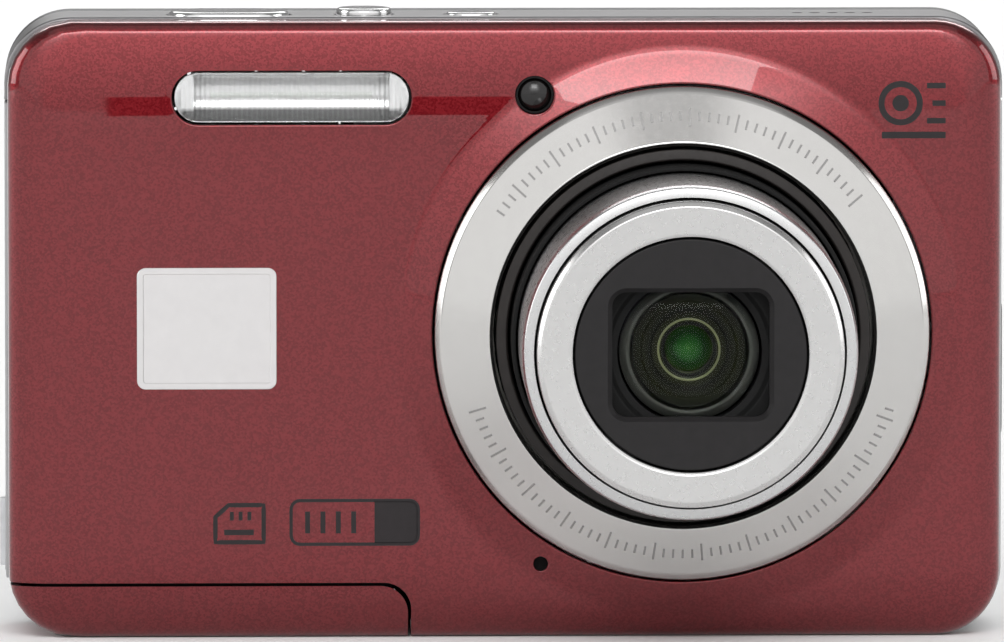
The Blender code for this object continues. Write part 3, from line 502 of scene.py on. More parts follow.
def roll_curve(bends, reach, depth_left):
    """(depth, inset) of a surface that bends away in turns and then rolls over an ellipse.

    bends are (length, angle in degrees at its end) runs across the face, reach the ellipse's inset.
    """
    inset, depth, angle = [], [], 0.0
    total = sum(length for length, _ in bends)
    turn = math.atan(reach / depth_left * math.tan(math.radians(bends[-1][1])))
    left = reach * (1 - math.sin(turn))
    across, low_by, steps = 0.0, 0.0, 60
    for length, degrees in bends:
        stop = math.radians(degrees)
        for k in range(steps):
            inset.append(left + total - across)
            depth.append(low_by)
            across += length / steps
            low_by += length / steps * math.tan(angle + (stop - angle) * (k + 0.5) / steps)
        angle = stop
    for t in np.linspace(turn, math.pi / 2, 100):
        inset.append(reach * (1 - math.sin(t)))
        depth.append(low_by + depth_left * (math.cos(turn) - math.cos(t)))
    return np.array(depth), np.array(inset)


SIDE_CURVE = roll_curve([(0.7, 2.5)], 4.2, 2.3)
BOTTOM_CURVE = roll_curve([(0.5, 3.0), (1.9, 7.0)], 4.9, 2.4)
TOP_CURVE = roll_curve([(1.0, 0.9), (2.05, 2.8), (5.2, 8.5)], 1.25, 1.3)


def outline_distance(x, z, side, bottom, top):
    """Signed distance to the casing's outline, drawn in at the sides, the bottom and the top."""
    low_r = np.maximum(CORNER_R - (side + bottom) / 2, 0.8)
    high_r = np.maximum(CORNER_R - (side + top) / 2, 1.2)
    z_low, z_high = bottom, COVER_TOP - top
    mid = (z_low + z_high) / 2
    r = np.where(z > mid, high_r, low_r)
    px = np.abs(x) - (COVER_HALF - side - r)
    pz = np.abs(z - mid) - ((z_high - z_low) / 2 - r)
    outside = np.hypot(np.maximum(px, 0), np.maximum(pz, 0))
    return outside + np.minimum(np.maximum(px, pz), 0) - r


def drawn_in(x, z, depth):
    """Whether a point lies outside the casing's section at this depth."""
    curves = SIDE_CURVE, BOTTOM_CURVE, TOP_CURVE
    return outline_distance(x, z, *(np.interp(depth, *curve, right=0.0) for curve in curves)) > 0


def roll_depth(x, z):
    """How far the front surface lies behind the front plane."""
    lo, hi = np.zeros_like(x), np.full_like(x, ROLL_DEPTH)
    flat = ~drawn_in(x, z, lo)
    for _ in range(26):
        mid = (lo + hi) / 2
        outside = drawn_in(x, z, mid)
        hi = np.where(outside, hi, mid)
        lo = np.where(outside, mid, lo)
    return np.where(flat, 0.0, hi)


def sunk_at(x, z):
    return float(roll_depth(np.array([x]), np.array([z]))[0])


def flare(r):
    """How far the surface rises towards the lens opening: an even ramp with a short blend at its foot."""
    along = np.clip(BOSS_R - r, 0, BOSS_R - BOSS_TOP_R)
    blend = 1.0
    ramp = np.where(along < blend, along**2 / (2 * blend), along - blend / 2)
    rise = BOSS_AHEAD * ramp / (BOSS_R - BOSS_TOP_R - blend / 2)
    lip = np.clip((BOSS_TOP_R - r) / (BOSS_TOP_R - OPENING_R), 0, 1)
    return rise - 0.16 * (1 - np.sqrt(np.maximum(1 - lip**2, 0)))


def rim_radius(c, s):
    """How far the casing's outline lies from the lens axis along a ray."""
    far, near = 80.0, 10.0
    for _ in range(40):
        r = (far + near) / 2
        if outline_distance(np.array(LENS_X + r * c), np.array(LENS_Z + r * s), 0.0, 0.0, 0.0) <= 0:
            near = r
        else:
            far = r
    return near


RAYS = 320
ROWS = 96


def outer_rows(c, s, rim):
    """(radius, y) down one ray of the front surface, closest together where it bends."""
    bend_from = rim - 8.0 if rim > 40 else rim - 3.0
    r = np.linspace(OPENING_R, BOSS_TOP_R, 30)
    r = np.concatenate([r, np.linspace(BOSS_TOP_R, bend_from, 300)[1:]])
    tail = rim - r[-1]
    r = np.concatenate([r, rim - tail * np.cos(np.linspace(0, math.pi / 2, 300))[1:]])
    depth = roll_depth(LENS_X + r * c, LENS_Z + r * s)
    depth[-1] = ROLL_DEPTH
    y = FRONT_Y + depth - flare(r)
    step = np.hypot(np.diff(r), np.diff(y))
    heading = np.unwrap(np.arctan2(np.diff(y), np.diff(r)))
    bend = np.abs(np.diff(heading, prepend=heading[0]))
    weight = 0.45 * step / step.sum() + 0.55 * bend / bend.sum()
    share = np.concatenate([[0], np.cumsum(weight)])
    count = np.arange(len(r))
    pick = np.interp(np.linspace(0, 1, ROWS), share / share[-1], count)
    return list(zip(np.interp(pick, count, r), np.interp(pick, count, y)))


def cover_shell(seam_y, wall):
    """The front shell as one closed loft of rays round the lens axis."""
    loops = []
    edge = 0.12
    for k in range(RAYS):
        angle = 2 * math.pi * k / RAYS
        c, s = math.cos(angle), math.sin(angle)
        rim = rim_radius(c, s)
        outer = outer_rows(c, s, rim)
        outer += [(rim, seam_y - edge), (rim - 0.3 * edge, seam_y - 0.3 * edge), (rim - edge, seam_y)]
        inner_r = np.linspace(OPENING_R, rim - wall, 26)
        inner_depth = roll_depth(LENS_X + inner_r * c, LENS_Z + inner_r * s)
        lift = np.minimum(inner_depth + wall, seam_y - FRONT_Y - 0.6)
        inner = [(a, FRONT_Y + d) for a, d in zip(inner_r, lift)][::-1]
        loop = outer + [(rim - wall, seam_y)] + inner
        loops.append([(LENS_X + a * c, b, LENS_Z + a * s) for a, b in loop])
    return skin(loops, closed=True)


def door_room(grow, rear):
    """The battery door's room, a prism with one rounded corner."""
    end, top, r = DOOR_END + DOOR_GAP + grow, DOOR_TOP + DOOR_GAP + grow, DOOR_CORNER
    outline = [(-60, -5), (end, -5)]
    for k in range(13):
        a = math.pi / 2 * k / 12
        outline.append((end - r + r * math.cos(a), top - r + r * math.sin(a)))
    outline.append((-60, top))
    return skin([[(a, y, b) for a, b in outline] for y in (-20, rear)])


def front_cover():
    obj = mesh_object("fine_front_cover", cover_shell(COVER_SEAM_Y, COVER_WALL))
    openings = (
        (FLASH, (FLASH_W + 0.4, FLASH_H + 0.4), FLASH_H / 2 + 0.1, 0.16),
        (LAMP, (3.5, 3.5), 1.75, 0.12),
        (MIC, (1.3, 1.3), 0.65, 0.08),
    )
    for centre, size, radius, soft in openings:
        face = FRONT_Y + sunk_at(*centre)
        cut(obj, mouth(centre, size, radius, face, face + 3.0, soft, steps=5, spread=0.02))
    cut(obj, door_room(DOOR_GAP, 20))
    dress(obj, "body", RED, 40.0)


def battery_door():
    obj = mesh_object("fine_battery_door", cover_shell(DOOR_REAR - 0.3, 1.1))
    cut(obj, door_room(-DOOR_GAP, 20), "INTERSECT")
    for x in (-34.0, -15.0):
        cut(obj, block((x - 1.3, 3.1, -2), (x + 1.3, 8, 4)))
    dress(obj, "battery_door", RED, 40.0)


def band(name, soft=0.25):
    """A hoop round the casing with softened outer edges."""
    stack = [(soft * q, BAND_FRONT_Y + soft * p) for p, q in quarter(4)]
    stack += [(soft * p, BAND_REAR_Y - soft * q) for p, q in quarter(4)]
    stack += [(BAND_WALL, BAND_REAR_Y), (BAND_WALL, BAND_FRONT_Y)]
    return mesh_object(name, skin([casing_ring(y, inset) for inset, y in stack], closed=True))


def casing_ring(y, inset, smallest=0.0):
    r = max(CORNER_R - inset, smallest)
    outline = round_outline(-BAND_HALF + inset, BAND_HALF - inset, inset, BODY_TOP - inset, r, 16)
    return [(a, y, b) for a, b in outline]


def top_cover():
    obj = band("fine_top_cover")
    cut(obj, block((-60, -20, TOP_SPLIT), (60, 20, 70)), "INTERSECT")
    for node in ("shutter_button", "power_button", "mode_button"):
        centre, (w, h), _, _ = facing(node, "Z")
        size = (w + 0.4, h + 0.4)
        hole = mouth(centre, size, min(size) / 2 - 0.02, BODY_TOP, BODY_TOP - 4, axis="Z", round_steps=10)
        cut(obj, hole)
    sound_hole = [(0.45, 50), (0.45, BODY_TOP - 0.08), (0.55, BODY_TOP + 0.02), (0.55, 60)]
    for k in range(5):
        cut(obj, turned(sound_hole, (27.0 + 1.6 * k, 0.5), False, 20, "Z"))
    dress(obj, "body", TOP_METAL)


def middle_frame():
    obj = band("fine_middle_frame")
    cut(obj, block((-60, -20, -5), (60, 20, TOP_SPLIT - 0.3)), "INTERSECT")
    cut(obj, door_room(DOOR_GAP, DOOR_REAR + DOOR_GAP))
    cut(obj, block(low("strap_lug") - (5, 0.3, 0.3), high("strap_lug") + (0, 0.3, 0.3)))
    cut(obj, block(low("port_cover") - (1, 0.2, 0.2), high("port_cover") + (5, 0.15, 0.2)))
    cut(obj, turned([(4.05, -2), (4.05, 4)], middle("tripod_socket")[:2], False, 64, "Z"))
    dress(obj, "body", FRAME_PLASTIC)


def rear_cover():
    edge = ((0.2, REAR_FRONT_Y), (0.05, REAR_FRONT_Y + 0.06), (0.0, REAR_FRONT_Y + 0.2))
    rings = [casing_ring(y, inset) for inset, y in edge]
    for p, q in quarter(12):
        rings.append(casing_ring(REAR_Y - REAR_ROLL_DEPTH * q, REAR_ROLL * p))
    obj = mesh_object("fine_rear_cover", skin(rings))
    hollow = ((1.2, REAR_FRONT_Y - 2), (1.2, REAR_Y - 2.2), (2.4, REAR_Y - 1.2))
    cut(obj, skin([casing_ring(y, inset) for inset, y in hollow]))
    rooms = {
        "screen_window": (0.4, 1.4),
        **dict.fromkeys(SMALL_KEYS, (0.5, 2.55)),
        "navigation_pad": (0.8, 9.0),
        "zoom_rocker": (0.65, 2.6),
    }
    for node, (grow, radius) in rooms.items():
        centre, (w, h), _, _ = facing(node, "Y")
        size = (w + grow, h + grow)
        cut(obj, mouth(centre, size, min(radius, min(size) / 2 - 0.01), REAR_Y, 5.0))
    dress(obj, "body", REAR_PLASTIC)


# Printed marks and the badge, all plain shapes

INK_THICK = 0.03
INK_ROOT = 0.1


def on_face(x, z, lift):
    """A point on the front face, lifted off it along -Y."""
    r = math.hypot(x - LENS_X, z - LENS_Z)
    return (x, FRONT_Y + sunk_at(x, z) - float(flare(np.array(r))) - lift, z)


def dense(points, closed, gap=0.4):
    """Adds points along straight runs so that a line can follow the face."""
    out = []
    runs = list(zip(points, points[1:] + points[:1]))
    for (ax, az), (bx, bz) in runs if closed else runs[:-1]:
        steps = max(int(math.hypot(bx - ax, bz - az) / gap), 1)
        out += [(ax + (bx - ax) * k / steps, az + (bz - az) * k / steps) for k in range(steps)]
    return out if closed else out + [points[-1]]


def stroke(points, width, closed=False):
    """A printed line of one width along (x, z) points, lying on the face."""
    path = dense(points, closed)
    count = len(path)
    rings = []
    for k, (x, z) in enumerate(path):
        before = path[k - 1] if closed or k else path[k]
        after = path[(k + 1) % count] if closed or k < count - 1 else path[k]
        along = np.array(after) - np.array(before)
        u, v = np.array((-along[1], along[0])) / np.linalg.norm(along) * width / 2
        edges = ((1, INK_THICK), (-1, INK_THICK), (-1, -INK_ROOT), (1, -INK_ROOT))
        rings.append([on_face(x + side * u, z + side * v, lift) for side, lift in edges])
    return skin(rings, closed)


def patch(outline):
    """A filled printed shape with a convex outline, lying on the face."""
    return skin([[on_face(x, z, lift) for x, z in outline] for lift in (-INK_ROOT, INK_THICK)])


def circle(x, z, r, count=40):
    turns = [2 * math.pi * k / count for k in range(count)]
    return [(x + r * math.cos(a), z + r * math.sin(a)) for a in turns]


def across(left, right, z, width):
    return stroke([(left, z), (right, z)], width)


def uprights(places, bottom, top, width):
    return [stroke([(x, bottom), (x, top)], width) for x in places]


def marks():
    """A ring and dot with lines, a card outline, and a pill with a filled end."""
    lens_mark = [
        stroke(circle(36.0, 48.9, 1.75), 0.55, True),
        patch(circle(36.0, 48.9, 0.75, 24)),
        across(38.4, 40.1, 50.5, 0.5),
        across(38.9, 40.1, 48.9, 0.5),
        across(38.4, 40.1, 47.3, 0.5),
        across(34.3, 40.1, 46.0, 0.6),
    ]
    card_outline = [(-26.4, 8.9), (-22.0, 8.9), (-22.0, 12.3), (-25.2, 12.3), (-26.4, 11.2)]
    card_mark = [stroke(card_outline, 0.4, True), across(-25.6, -22.9, 9.8, 0.5)]
    card_mark += uprights((-24.9, -24.1, -23.3), 10.9, 11.7, 0.35)
    pill_mark = [
        stroke(round_outline(-19.5, -7.9, 8.7, 12.7, 0.8, 5), 0.3, True),
        patch(round_outline(-11.9, -8.0, 8.8, 12.6, (0.7, 0.05, 0.05, 0.7), 4)),
        *uprights((-18.0, -16.6, -15.2, -13.8), 9.7, 11.7, 0.45),
    ]
    for name, shapes in (("mark_lens", lens_mark), ("mark_card", card_mark), ("mark_pill", pill_mark)):
        mesh_object(name, joined(shapes), "body", INK)


def badge():
    """A plain bright plate with a fine raised border."""
    left, right, bottom, top = -33.5, -20.8, 22.9, 34.0
    centre, size = ((left + right) / 2, (bottom + top) / 2), (right - left, top - bottom)
    layers = ((0.0, -0.3), (0.0, 0.06), (0.03, 0.09), (0.55, 0.09), (0.6, 0.05))
    shape = layered(centre, size, 0.8, [(inset, ahead(at)) for inset, at in layers], "Y", 8)
    mesh_object("badge_plate", shape, "body", BADGE)


# Lens, from the outside in

RING_R, RING_AHEAD = 22.0, 1.62
RING_INNER_R, RING_INNER_AHEAD = 17.62, 3.88


def lens_piece(name, profile, body, look, closed=True, sides=160):
    """A piece turned round the lens axis from (radius, distance ahead, setback) points."""
    shape = [(r, ahead(at), soft) for r, at, soft in profile]
    lathe(name, shape, body, look, closed=closed, sides=sides)


def lens_rings():
    lens_piece("dress_ring", [
        (17.3, -0.6, 0.1), (22.55, -0.6, 0.1), (22.55, 1.0, 0.2),
        (RING_R, RING_AHEAD, 0.16), (RING_INNER_R, RING_INNER_AHEAD, 0.14), (17.3, 3.62, 0.12),
    ], "body", RING_SILVER, sides=240)
    lens_piece("light_shield_ring", [
        (15.95, -0.6, 0.1), (17.0, -0.6, 0.1), (17.0, 3.55, 0.1),
        (16.1, 3.75, 0.12), (15.95, 3.5, 0.1),
    ], "body", CHARCOAL, sides=200)
    lens_piece("guide_barrel", [
        (15.3, -7.0, 0.05), (15.7, -7.0, 0.05), (15.7, 7.2, 0.12), (15.3, 7.2, 0.12),
    ], "guide_barrel", DEEP_BLACK, sides=200)
    lens_piece("outer_barrel", [
        (14.3, 4.3, 0.05), (15.1, 4.3, 0.05), (15.1, 20.1, 0.3),
        (14.88, 20.78, 0.14), (14.02, 20.9, 0.06), (14.02, 19.5, 0.05), (14.3, 19.2, 0.05),
    ], "outer_barrel", BARREL_SILVER, sides=240)
    lens_piece("inner_barrel", [
        (12.9, 10.6, 0.05), (13.8, 10.6, 0.05), (13.8, 21.95, 0.16),
        (13.34, 22.4, 0.12), (10.85, 22.34, 0.1), (10.6, 22.2, 0.05),
        (10.6, 21.3, 0.05), (12.9, 21.3, 0.05),
    ], "inner_barrel", FACE_SILVER, sides=240)


def ring_ticks():
    """Fine index lines round the dress ring, a longer one every fifth."""
    slope = (RING_INNER_AHEAD - RING_AHEAD) / (RING_R - RING_INNER_R)
    faces = [(0, 1, 2, 3), (4, 7, 6, 5), (0, 4, 5, 1), (1, 5, 6, 2), (2, 6, 7, 3), (3, 7, 4, 0)]
    ticks = []
    for low_angle, high_angle in ((38, 146), (200, 340)):
        count = int((high_angle - low_angle) / 2.5)
        for k in range(count + 1):
            a = math.radians(low_angle + (high_angle - low_angle) * k / count)
            start, stop = (19.1, 20.7) if k % 5 == 0 else (19.6, 20.4)
            c, s = math.cos(a), math.sin(a)
            points = []
            for lift in (-0.05, 0.03):
                for r, side in ((start, -0.1), (stop, -0.1), (stop, 0.1), (start, 0.1)):
                    y = ahead(RING_AHEAD + (RING_R - r) * slope + lift)
                    points.append((LENS_X + r * c - side * s, y, LENS_Z + r * s + side * c))
            ticks.append((points, faces))
    mesh_object("ring_ticks", joined(ticks), "body", TICKS)


def lens_mask():
    back, front = ahead(21.3), ahead(22.2)
    disc = fillet([(0, back, 0), (10.4, back, 0), (10.4, front, 0.15), (0, front, 0)], False)
    obj = mesh_object("fine_front_mask", turned(disc, (LENS_X, LENS_Z), False, 200))
    layers = [(0.0, back + 2), (0.0, back - 0.2), (0.0, front + 0.42), (-0.42, front - 0.01)]
    layers.append((-0.43, front - 2))
    cut(obj, layered((LENS_X, LENS_Z), (14.1, 11.2), 1.3, layers, "Y", 12))
    dress(obj, "inner_barrel", MASK_BLACK)


def blades():
    for side in ("upper", "lower"):
        for layer in ("inner", "outer"):
            node = f"barrier_blade_{side}_{layer}"
            centre, size, front, back = facing(node, "Y")
            layers = [(0.08, back), (0.0, back - 0.08)] + slab(back - 0.1, front, 0.1)
            shape = layered(centre, size, 0.8, layers, "Y", 6)
            mesh_object(f"fine_{node}", shape, node, MASK_BLACK)


def well_painted_reflection_look():
    look = Look("well_painted_reflections", (0.05, 0.05, 0.02), 0.35, gleam=0.15)
    # Painted reflections: the olive, dark and grey rings by radius stand in for the inner lenses'
    # reflections on a black well.
    look.colour_by_radius((
        (0.0, (0.018, 0.019, 0.003)),
        (0.45, (0.012, 0.013, 0.002)),
        (0.55, (0.002, 0.002, 0.001)),
        (0.68, (0.007, 0.008, 0.001)),
        (0.83, (0.002, 0.002, 0.001)),
        (0.85, (0.085, 0.085, 0.082)),
        (1.0, (0.05, 0.05, 0.05)),
    ), 6.4)
    look.bump(look.rings(14.0), 0.004, 0.5)
    return look.made


def element_painted_glint_look():
    look = Look("green_element_painted_glint", (0.05, 0.2, 0.06), 0.16, 0.3, gleam=0.2)
    # Painted highlight and reflections: the bright centre and lighter rings stand in for light on the
    # element, over its green tint.
    look.colour_by_radius((
        (0.0, (0.05, 0.14, 0.03)),
        (0.1, (0.02, 0.1, 0.016)),
        (0.45, (0.012, 0.075, 0.012)),
        (0.7, (0.006, 0.03, 0.006)),
        (0.76, (0.01, 0.045, 0.008)),
        (0.9, (0.02, 0.06, 0.012)),
        (1.0, (0.05, 0.08, 0.02)),
    ), ELEMENT_R)
    return look.made


GLASS_R = 6.2
ELEMENT_R = 2.15


def front_glass():
    """A thin front glass over a stepped black well with painted reflection rings, and a small green
    element deep inside with a painted highlight at its centre.
    """
    lens_piece("front_lens_cell", [
        (6.5, 16.9, 0.05), (12.6, 16.9, 0.1), (12.6, 19.6, 0.1),
        (7.5, 19.6, 0.15), (7.1, 19.0, 0.1), (6.5, 18.9, 0.06),
    ], "inner_barrel", DEEP_BLACK)
    shares = [k / 14 for k in range(15)]
    dome = [(GLASS_R * t, 19.25 - 1.1 * t**2, 0) for t in shares]
    dome += [(GLASS_R * t, 19.7 - 1.1 * t**2, 0) for t in shares[::-1]]
    lens_piece("front_lens", dome, "inner_barrel", GLASS, False, 128)
    lens_piece("lens_well", [
        (2.5, 16.5, 0), (6.3, 16.5, 0.05), (6.3, 17.5, 0.1), (5.6, 18.1, 0.2),
        (5.3, 17.9, 0.08), (5.1, 17.2, 0.06), (4.4, 17.15, 0.05),
        (4.2, 16.95, 0.05), (3.5, 16.9, 0.04), (3.35, 16.78, 0.04),
        (2.75, 16.74, 0.04), (2.5, 16.65, 0.03),
    ], "inner_barrel", well_painted_reflection_look(), sides=128)
    lens_piece("lens_tube", [
        (2.2, 14.4, 0.02), (2.9, 14.4, 0.05), (2.9, 16.45, 0.05), (2.2, 16.45, 0.05),
    ], "inner_barrel", DEEP_BLACK, sides=96)
    element = [(0.0, 14.4, 0), (ELEMENT_R, 14.4, 0)]
    element += [(ELEMENT_R * k / 12, 15.2 - 0.3 * (k / 12) ** 2, 0) for k in range(12, -1, -1)]
    look = element_painted_glint_look()
    lens_piece("coated_element", element, "inner_barrel", look, False, 96)
    for name, r, at in (("lens_retainer", 2.28, 15.6), ("lens_step", 2.75, 16.7)):
        lens_piece(name, [
            (r - 0.1, at, 0.02), (r + 0.1, at, 0.03),
            (r + 0.1, at + 0.12, 0.05), (r - 0.1, at + 0.1, 0.03),
        ], "inner_barrel", RETAINER, sides=96)


# Flash and lamp

TROUGH_HALF_W = 8.9
TROUGH_HALF_H = 2.1


def ribbed_look():
    """Bright plastic crossed by fine upright ribs, with painted shade along its lower edge and painted
    light and shade striping the ribs.
    """
    look = Look("flash_mirror", (0.9, 0.91, 0.92), 0.3, 0.75, coat=0.5)
    x, _, z = look.split(FLASH)
    wave = look.math("SINE", look.math("MULTIPLY", x, 2 * math.pi / 0.46))
    # Painted shade: the colour darkens along the trough's lower edge and stripes light and dark with the
    # ribs, besides their bump.
    painted_shading = look.math("MULTIPLY_ADD", wave, 0.05, look.ramp(z, -1.35, -0.95))
    look.two_tone(look.math("MINIMUM", painted_shading, 1.0), (0.16, 0.16, 0.16), (0.97, 0.975, 0.975))
    look.bump(wave, 0.03, 0.6)
    return look.made


def reflector_shape():
    """A trough with a thin wall and closed ends, open to the front."""
    (mid_x, mid_z), wall = FLASH, 0.25
    arc = []
    for k in range(17):
        a = math.pi * k / 16
        arc.append((TROUGH_HALF_H * math.cos(a), -7.75 + 2.2 * math.sin(a) ** 0.8))
    points, faces = [], []
    for half, back, scale in ((TROUGH_HALF_W, 0, 1), (TROUGH_HALF_W + wall, wall, 1.08)):
        for x in (mid_x - half, mid_x + half):
            points += [(x, y + back, mid_z + z * scale) for z, y in arc]
    n = len(arc)
    for k in range(n - 1):
        faces.append((k, k + 1, n + k + 1, n + k))
        faces.append((2 * n + k, 3 * n + k, 3 * n + k + 1, 2 * n + k + 1))
        faces.append((k, 2 * n + k, 2 * n + k + 1, k + 1))
        faces.append((n + k, n + k + 1, 3 * n + k + 1, 3 * n + k))
    faces += [(k, n + k, 3 * n + k, 2 * n + k) for k in (0, n - 1)]
    faces += [tuple(range(2 * n, 3 * n)), tuple(range(3 * n, 4 * n))[::-1]]
    return points, faces


def flash():
    """The clear window, the trough behind it and the ribbed ends beside the trough."""
    face, soft, back = ahead(0.2), 0.45, FLASH_BACK
    layers = [(0.35, back), (0.0, back - 0.3), (0.0, face + soft)]
    layers += [(soft * p, face + soft * q) for p, q in quarter(5, 1)]
    window = layered(FLASH, (FLASH_W, FLASH_H), FLASH_H / 2 - 0.05, layers, "Y", 14)
    mesh_object("fine_flash_window", window, "body", CLEAR)
    ribbed = ribbed_look()
    mesh_object("fine_flash_reflector", reflector_shape(), "body", ribbed)
    layers = [(0.0, back + 0.45), (0.0, back + 0.1), (0.1, back + 0.05)]
    plate = layered(FLASH, (FLASH_W - 0.1, FLASH_H - 0.1), FLASH_H / 2 - 0.1, layers, "Y", 14)
    obj = mesh_object("flash_ends", plate)
    (x, z), w, h = FLASH, TROUGH_HALF_W, TROUGH_HALF_H
    cut(obj, block((x - w, -12, z - h), (x + w, 0, z + h)))
    dress(obj, "body", ribbed)


def focus_lamp():
    profile = [(0.0, -7.3, 0), (1.5, -7.3, 0.05), (1.5, -8.6, 0.25)]
    for k in range(9):
        r = 1.25 - 1.25 * k / 8
        profile.append((r, -8.72 - 0.33 * (1 - (r / 1.25) ** 2), 0))
    lathe("focus_lamp", profile, "body", LAMP_BLACK, LAMP, False, 48)
    rim = [(1.52, -7.6, 0.02), (1.72, -7.6, 0.02), (1.72, -9.0, 0.06), (1.52, -9.0, 0.06)]
    lathe("lamp_rim", rim, "body", DEEP_BLACK, LAMP, sides=48)


# Controls


def cap(node, look, soft, dish, axis="Z"):
    """A button cap with a rounded edge and a gently dished top."""
    centre, size, start, end = facing(node, axis)
    radius = min(size) / 2 - 0.01
    layers = slab(start, end, soft, 6)
    for k in range(1, 8):
        t = k / 8
        layers.append((soft + (radius - soft) * t, end - dish * (1 - (1 - t) ** 2)))
    shape = layered(centre, size, radius, layers, axis, 12)
    mesh_object(f"fine_{node}", shape, node, look, 40.0)


def controls():
    for node, soft, dish in (("shutter", 0.4, 0.12), ("power", 0.35, 0.12), ("mode", 0.3, 0.08)):
        cap(f"{node}_button", CHROME, soft, dish)
    for node in SMALL_KEYS:
        cap(node, KEYS, 0.35, 0.1, "Y")
    cap("zoom_rocker", KEYS, 0.5, 0.25, "Y")
    centre = facing("navigation_pad", "Y")[0]
    lathe("navigation_pad", [
        (4.3, 7.9, 0.05), (8.6, 7.9, 0.1), (8.6, 9.25, 0.3),
        (7.9, 9.6, 0.3), (5.6, 9.42, 0.4), (4.3, 9.3, 0.15),
    ], "navigation_pad", KEYS, centre, sides=120)
    lathe("set_button", [
        (0.0, 6.9, 0), (3.8, 6.9, 0.1), (3.8, 9.45, 0.25),
        (3.3, 9.66, 0.2), (1.6, 9.6, 0.3), (0.0, 9.58, 0),
    ], "set_button", CHROME, centre, False, 80)


def screen():
    """A glossy pane, a little lighter over the display than round it."""
    centre, size, start, end = facing("screen_window", "Y")
    look = Look("screen_glass_panel", (0.006, 0.006, 0.008), 0.05, coat=0.6, coat_rough=0.02, gleam=0.2)
    x, _, z = look.split(centre)
    wide = look.math("LESS_THAN", look.math("ABSOLUTE", x), size[0] / 2 - 3.4)
    tall = look.math("LESS_THAN", look.math("ABSOLUTE", z), size[1] / 2 - 2.6)
    look.two_tone(look.math("MULTIPLY", wide, tall), (0.004, 0.004, 0.005), (0.016, 0.018, 0.022))
    look.rough_by(look.noise(0.4), 0.015)
    shape = layered(centre, size, 1.2, slab(start, end, 0.2, 5), "Y", 12)
    mesh_object("fine_screen_window", shape, "body", look.made)


def bar(x, z, w, h):
    return [(x - w / 2, z - h / 2), (x + w / 2, z - h / 2), (x + w / 2, z + h / 2), (x - w / 2, z + h / 2)]


def symbol(name, body, y, shapes, look=WHITE_INK):
    """Thin (x, z) outlines printed on a key at y, placed from the key's centre."""
    at_x, at_z = facing(body, "Y")[0]
    prints = [
        skin([[(at_x + x, y + lift, at_z + z) for x, z in outline] for lift in (-0.05, 0.02)])
        for outline in shapes
    ]
    mesh_object(name, joined(prints), body, look)


def rear_marks():
    """Plain symbols on the keys: lines, a triangle, a box with a lid, dots, plus and minus."""
    key_y = high("menu_button")[1] - 0.09
    three = (-1, 0, 1)
    symbol("menu_mark", "menu_button", key_y, [bar(0, 0.6 * k, 1.9, 0.26) for k in three])
    symbol("playback_mark", "playback_button", key_y, [[(-0.8, 0), (0.6, -0.85), (0.6, 0.85)]])
    box = [bar(0, 0.65, 1.7, 0.24), bar(-0.5, -0.15, 0.24, 1.2), bar(0.5, -0.15, 0.24, 1.2)]
    symbol("delete_mark", "delete_button", key_y, box + [bar(0, -0.8, 1.24, 0.24)])
    symbol("info_mark", "info_button", key_y, [circle(0.75 * k, 0, 0.26, 16) for k in three])
    symbol("record_mark", "record_button", key_y, [circle(0, 0, 0.85, 32)], RED_INK)
    _, (rocker_w, _), _, rocker_rear = facing("zoom_rocker", "Y")
    out = rocker_w / 2 - 2.4
    signs = [bar(-out, 0, 1.4, 0.3), bar(-out, 0, 0.3, 1.4), bar(out, 0, 1.4, 0.3)]
    symbol("rocker_marks", "zoom_rocker", rocker_rear - 0.24, signs)
    ticks = [bar(0, 7.0, 1.2, 0.3), bar(0, -7.0, 1.2, 0.3), bar(-7.0, 0, 0.3, 1.2), bar(7.0, 0, 0.3, 1.2)]
    symbol("pad_marks", "navigation_pad", 9.56, ticks)


def thumb_rest():
    """Five small bumps in two columns."""
    base, tip = REAR_Y - 0.2, REAR_Y + 0.12
    dome = [(0.0, base, 0), (0.5, base, 0), (0.45, tip, 0.1), (0.0, REAR_Y + 0.2, 0)]
    places = [(-42.6, 32.5 + 1.6 * k) for k in range(3)] + [(-41.0, 33.3 + 1.6 * k) for k in range(2)]
    for k, centre in enumerate(places):
        lathe(f"thumb_bump_{k}", dome, "body", REAR_PLASTIC, centre, False, 24)


def port_cover():
    centre, size, start, end = facing("port_cover", "X")
    layers = [(0.15, start), (0.0, start + 0.15)] + slab(start + 0.2, end, 0.3, 5)
    shape = layered(centre, size, 0.9, layers, "X")
    mesh_object("fine_port_cover", shape, "port_cover", RUBBER)


def screw(name, centre, axis, flush):
    """A small screw head with a cross recess, its face at flush along an axis."""
    inward = -1 if flush > 0.5 else 1
    steps = ((0.0, 0.5, 0), (0.95, 0.5, 0), (0.95, 0.05, 0.1), (0.6, -0.03, 0.1), (0.0, -0.04, 0))
    profile = [(r, flush + inward * deep, soft) for r, deep, soft in steps]
    obj = mesh_object(name, turned(fillet(profile, False), centre, False, 40, axis))
    for u, v in ((0.5, 0.09), (0.09, 0.5)):
        lo = place(centre[0] - u, centre[1] - v, flush - 0.25, axis)
        hi = place(centre[0] + u, centre[1] + v, flush + 0.25, axis)
        cut(obj, block(lo, hi))
    dress(obj, "body", STEEL)


def screws():
    for k, x in enumerate((-4.0, 30.0, 38.0)):
        screw(f"base_screw_{k}", (x, 0.5), "Z", 0.06)
    for k, z in enumerate((9.0, 42.0)):
        screw(f"side_screw_{k}", (0.5, z), "X", BAND_HALF - 0.03)


# Carried-over pieces keep their shape and take procedural finishes


def board_look():
    look = Look("circuit_board", (0.02, 0.12, 0.06), 0.45, coat=0.4)
    look.tint(look.noise(1.0, 2.0), 0.25)
    look.bump(look.cells(0.8), 0.02, 0.4)
    return look.made


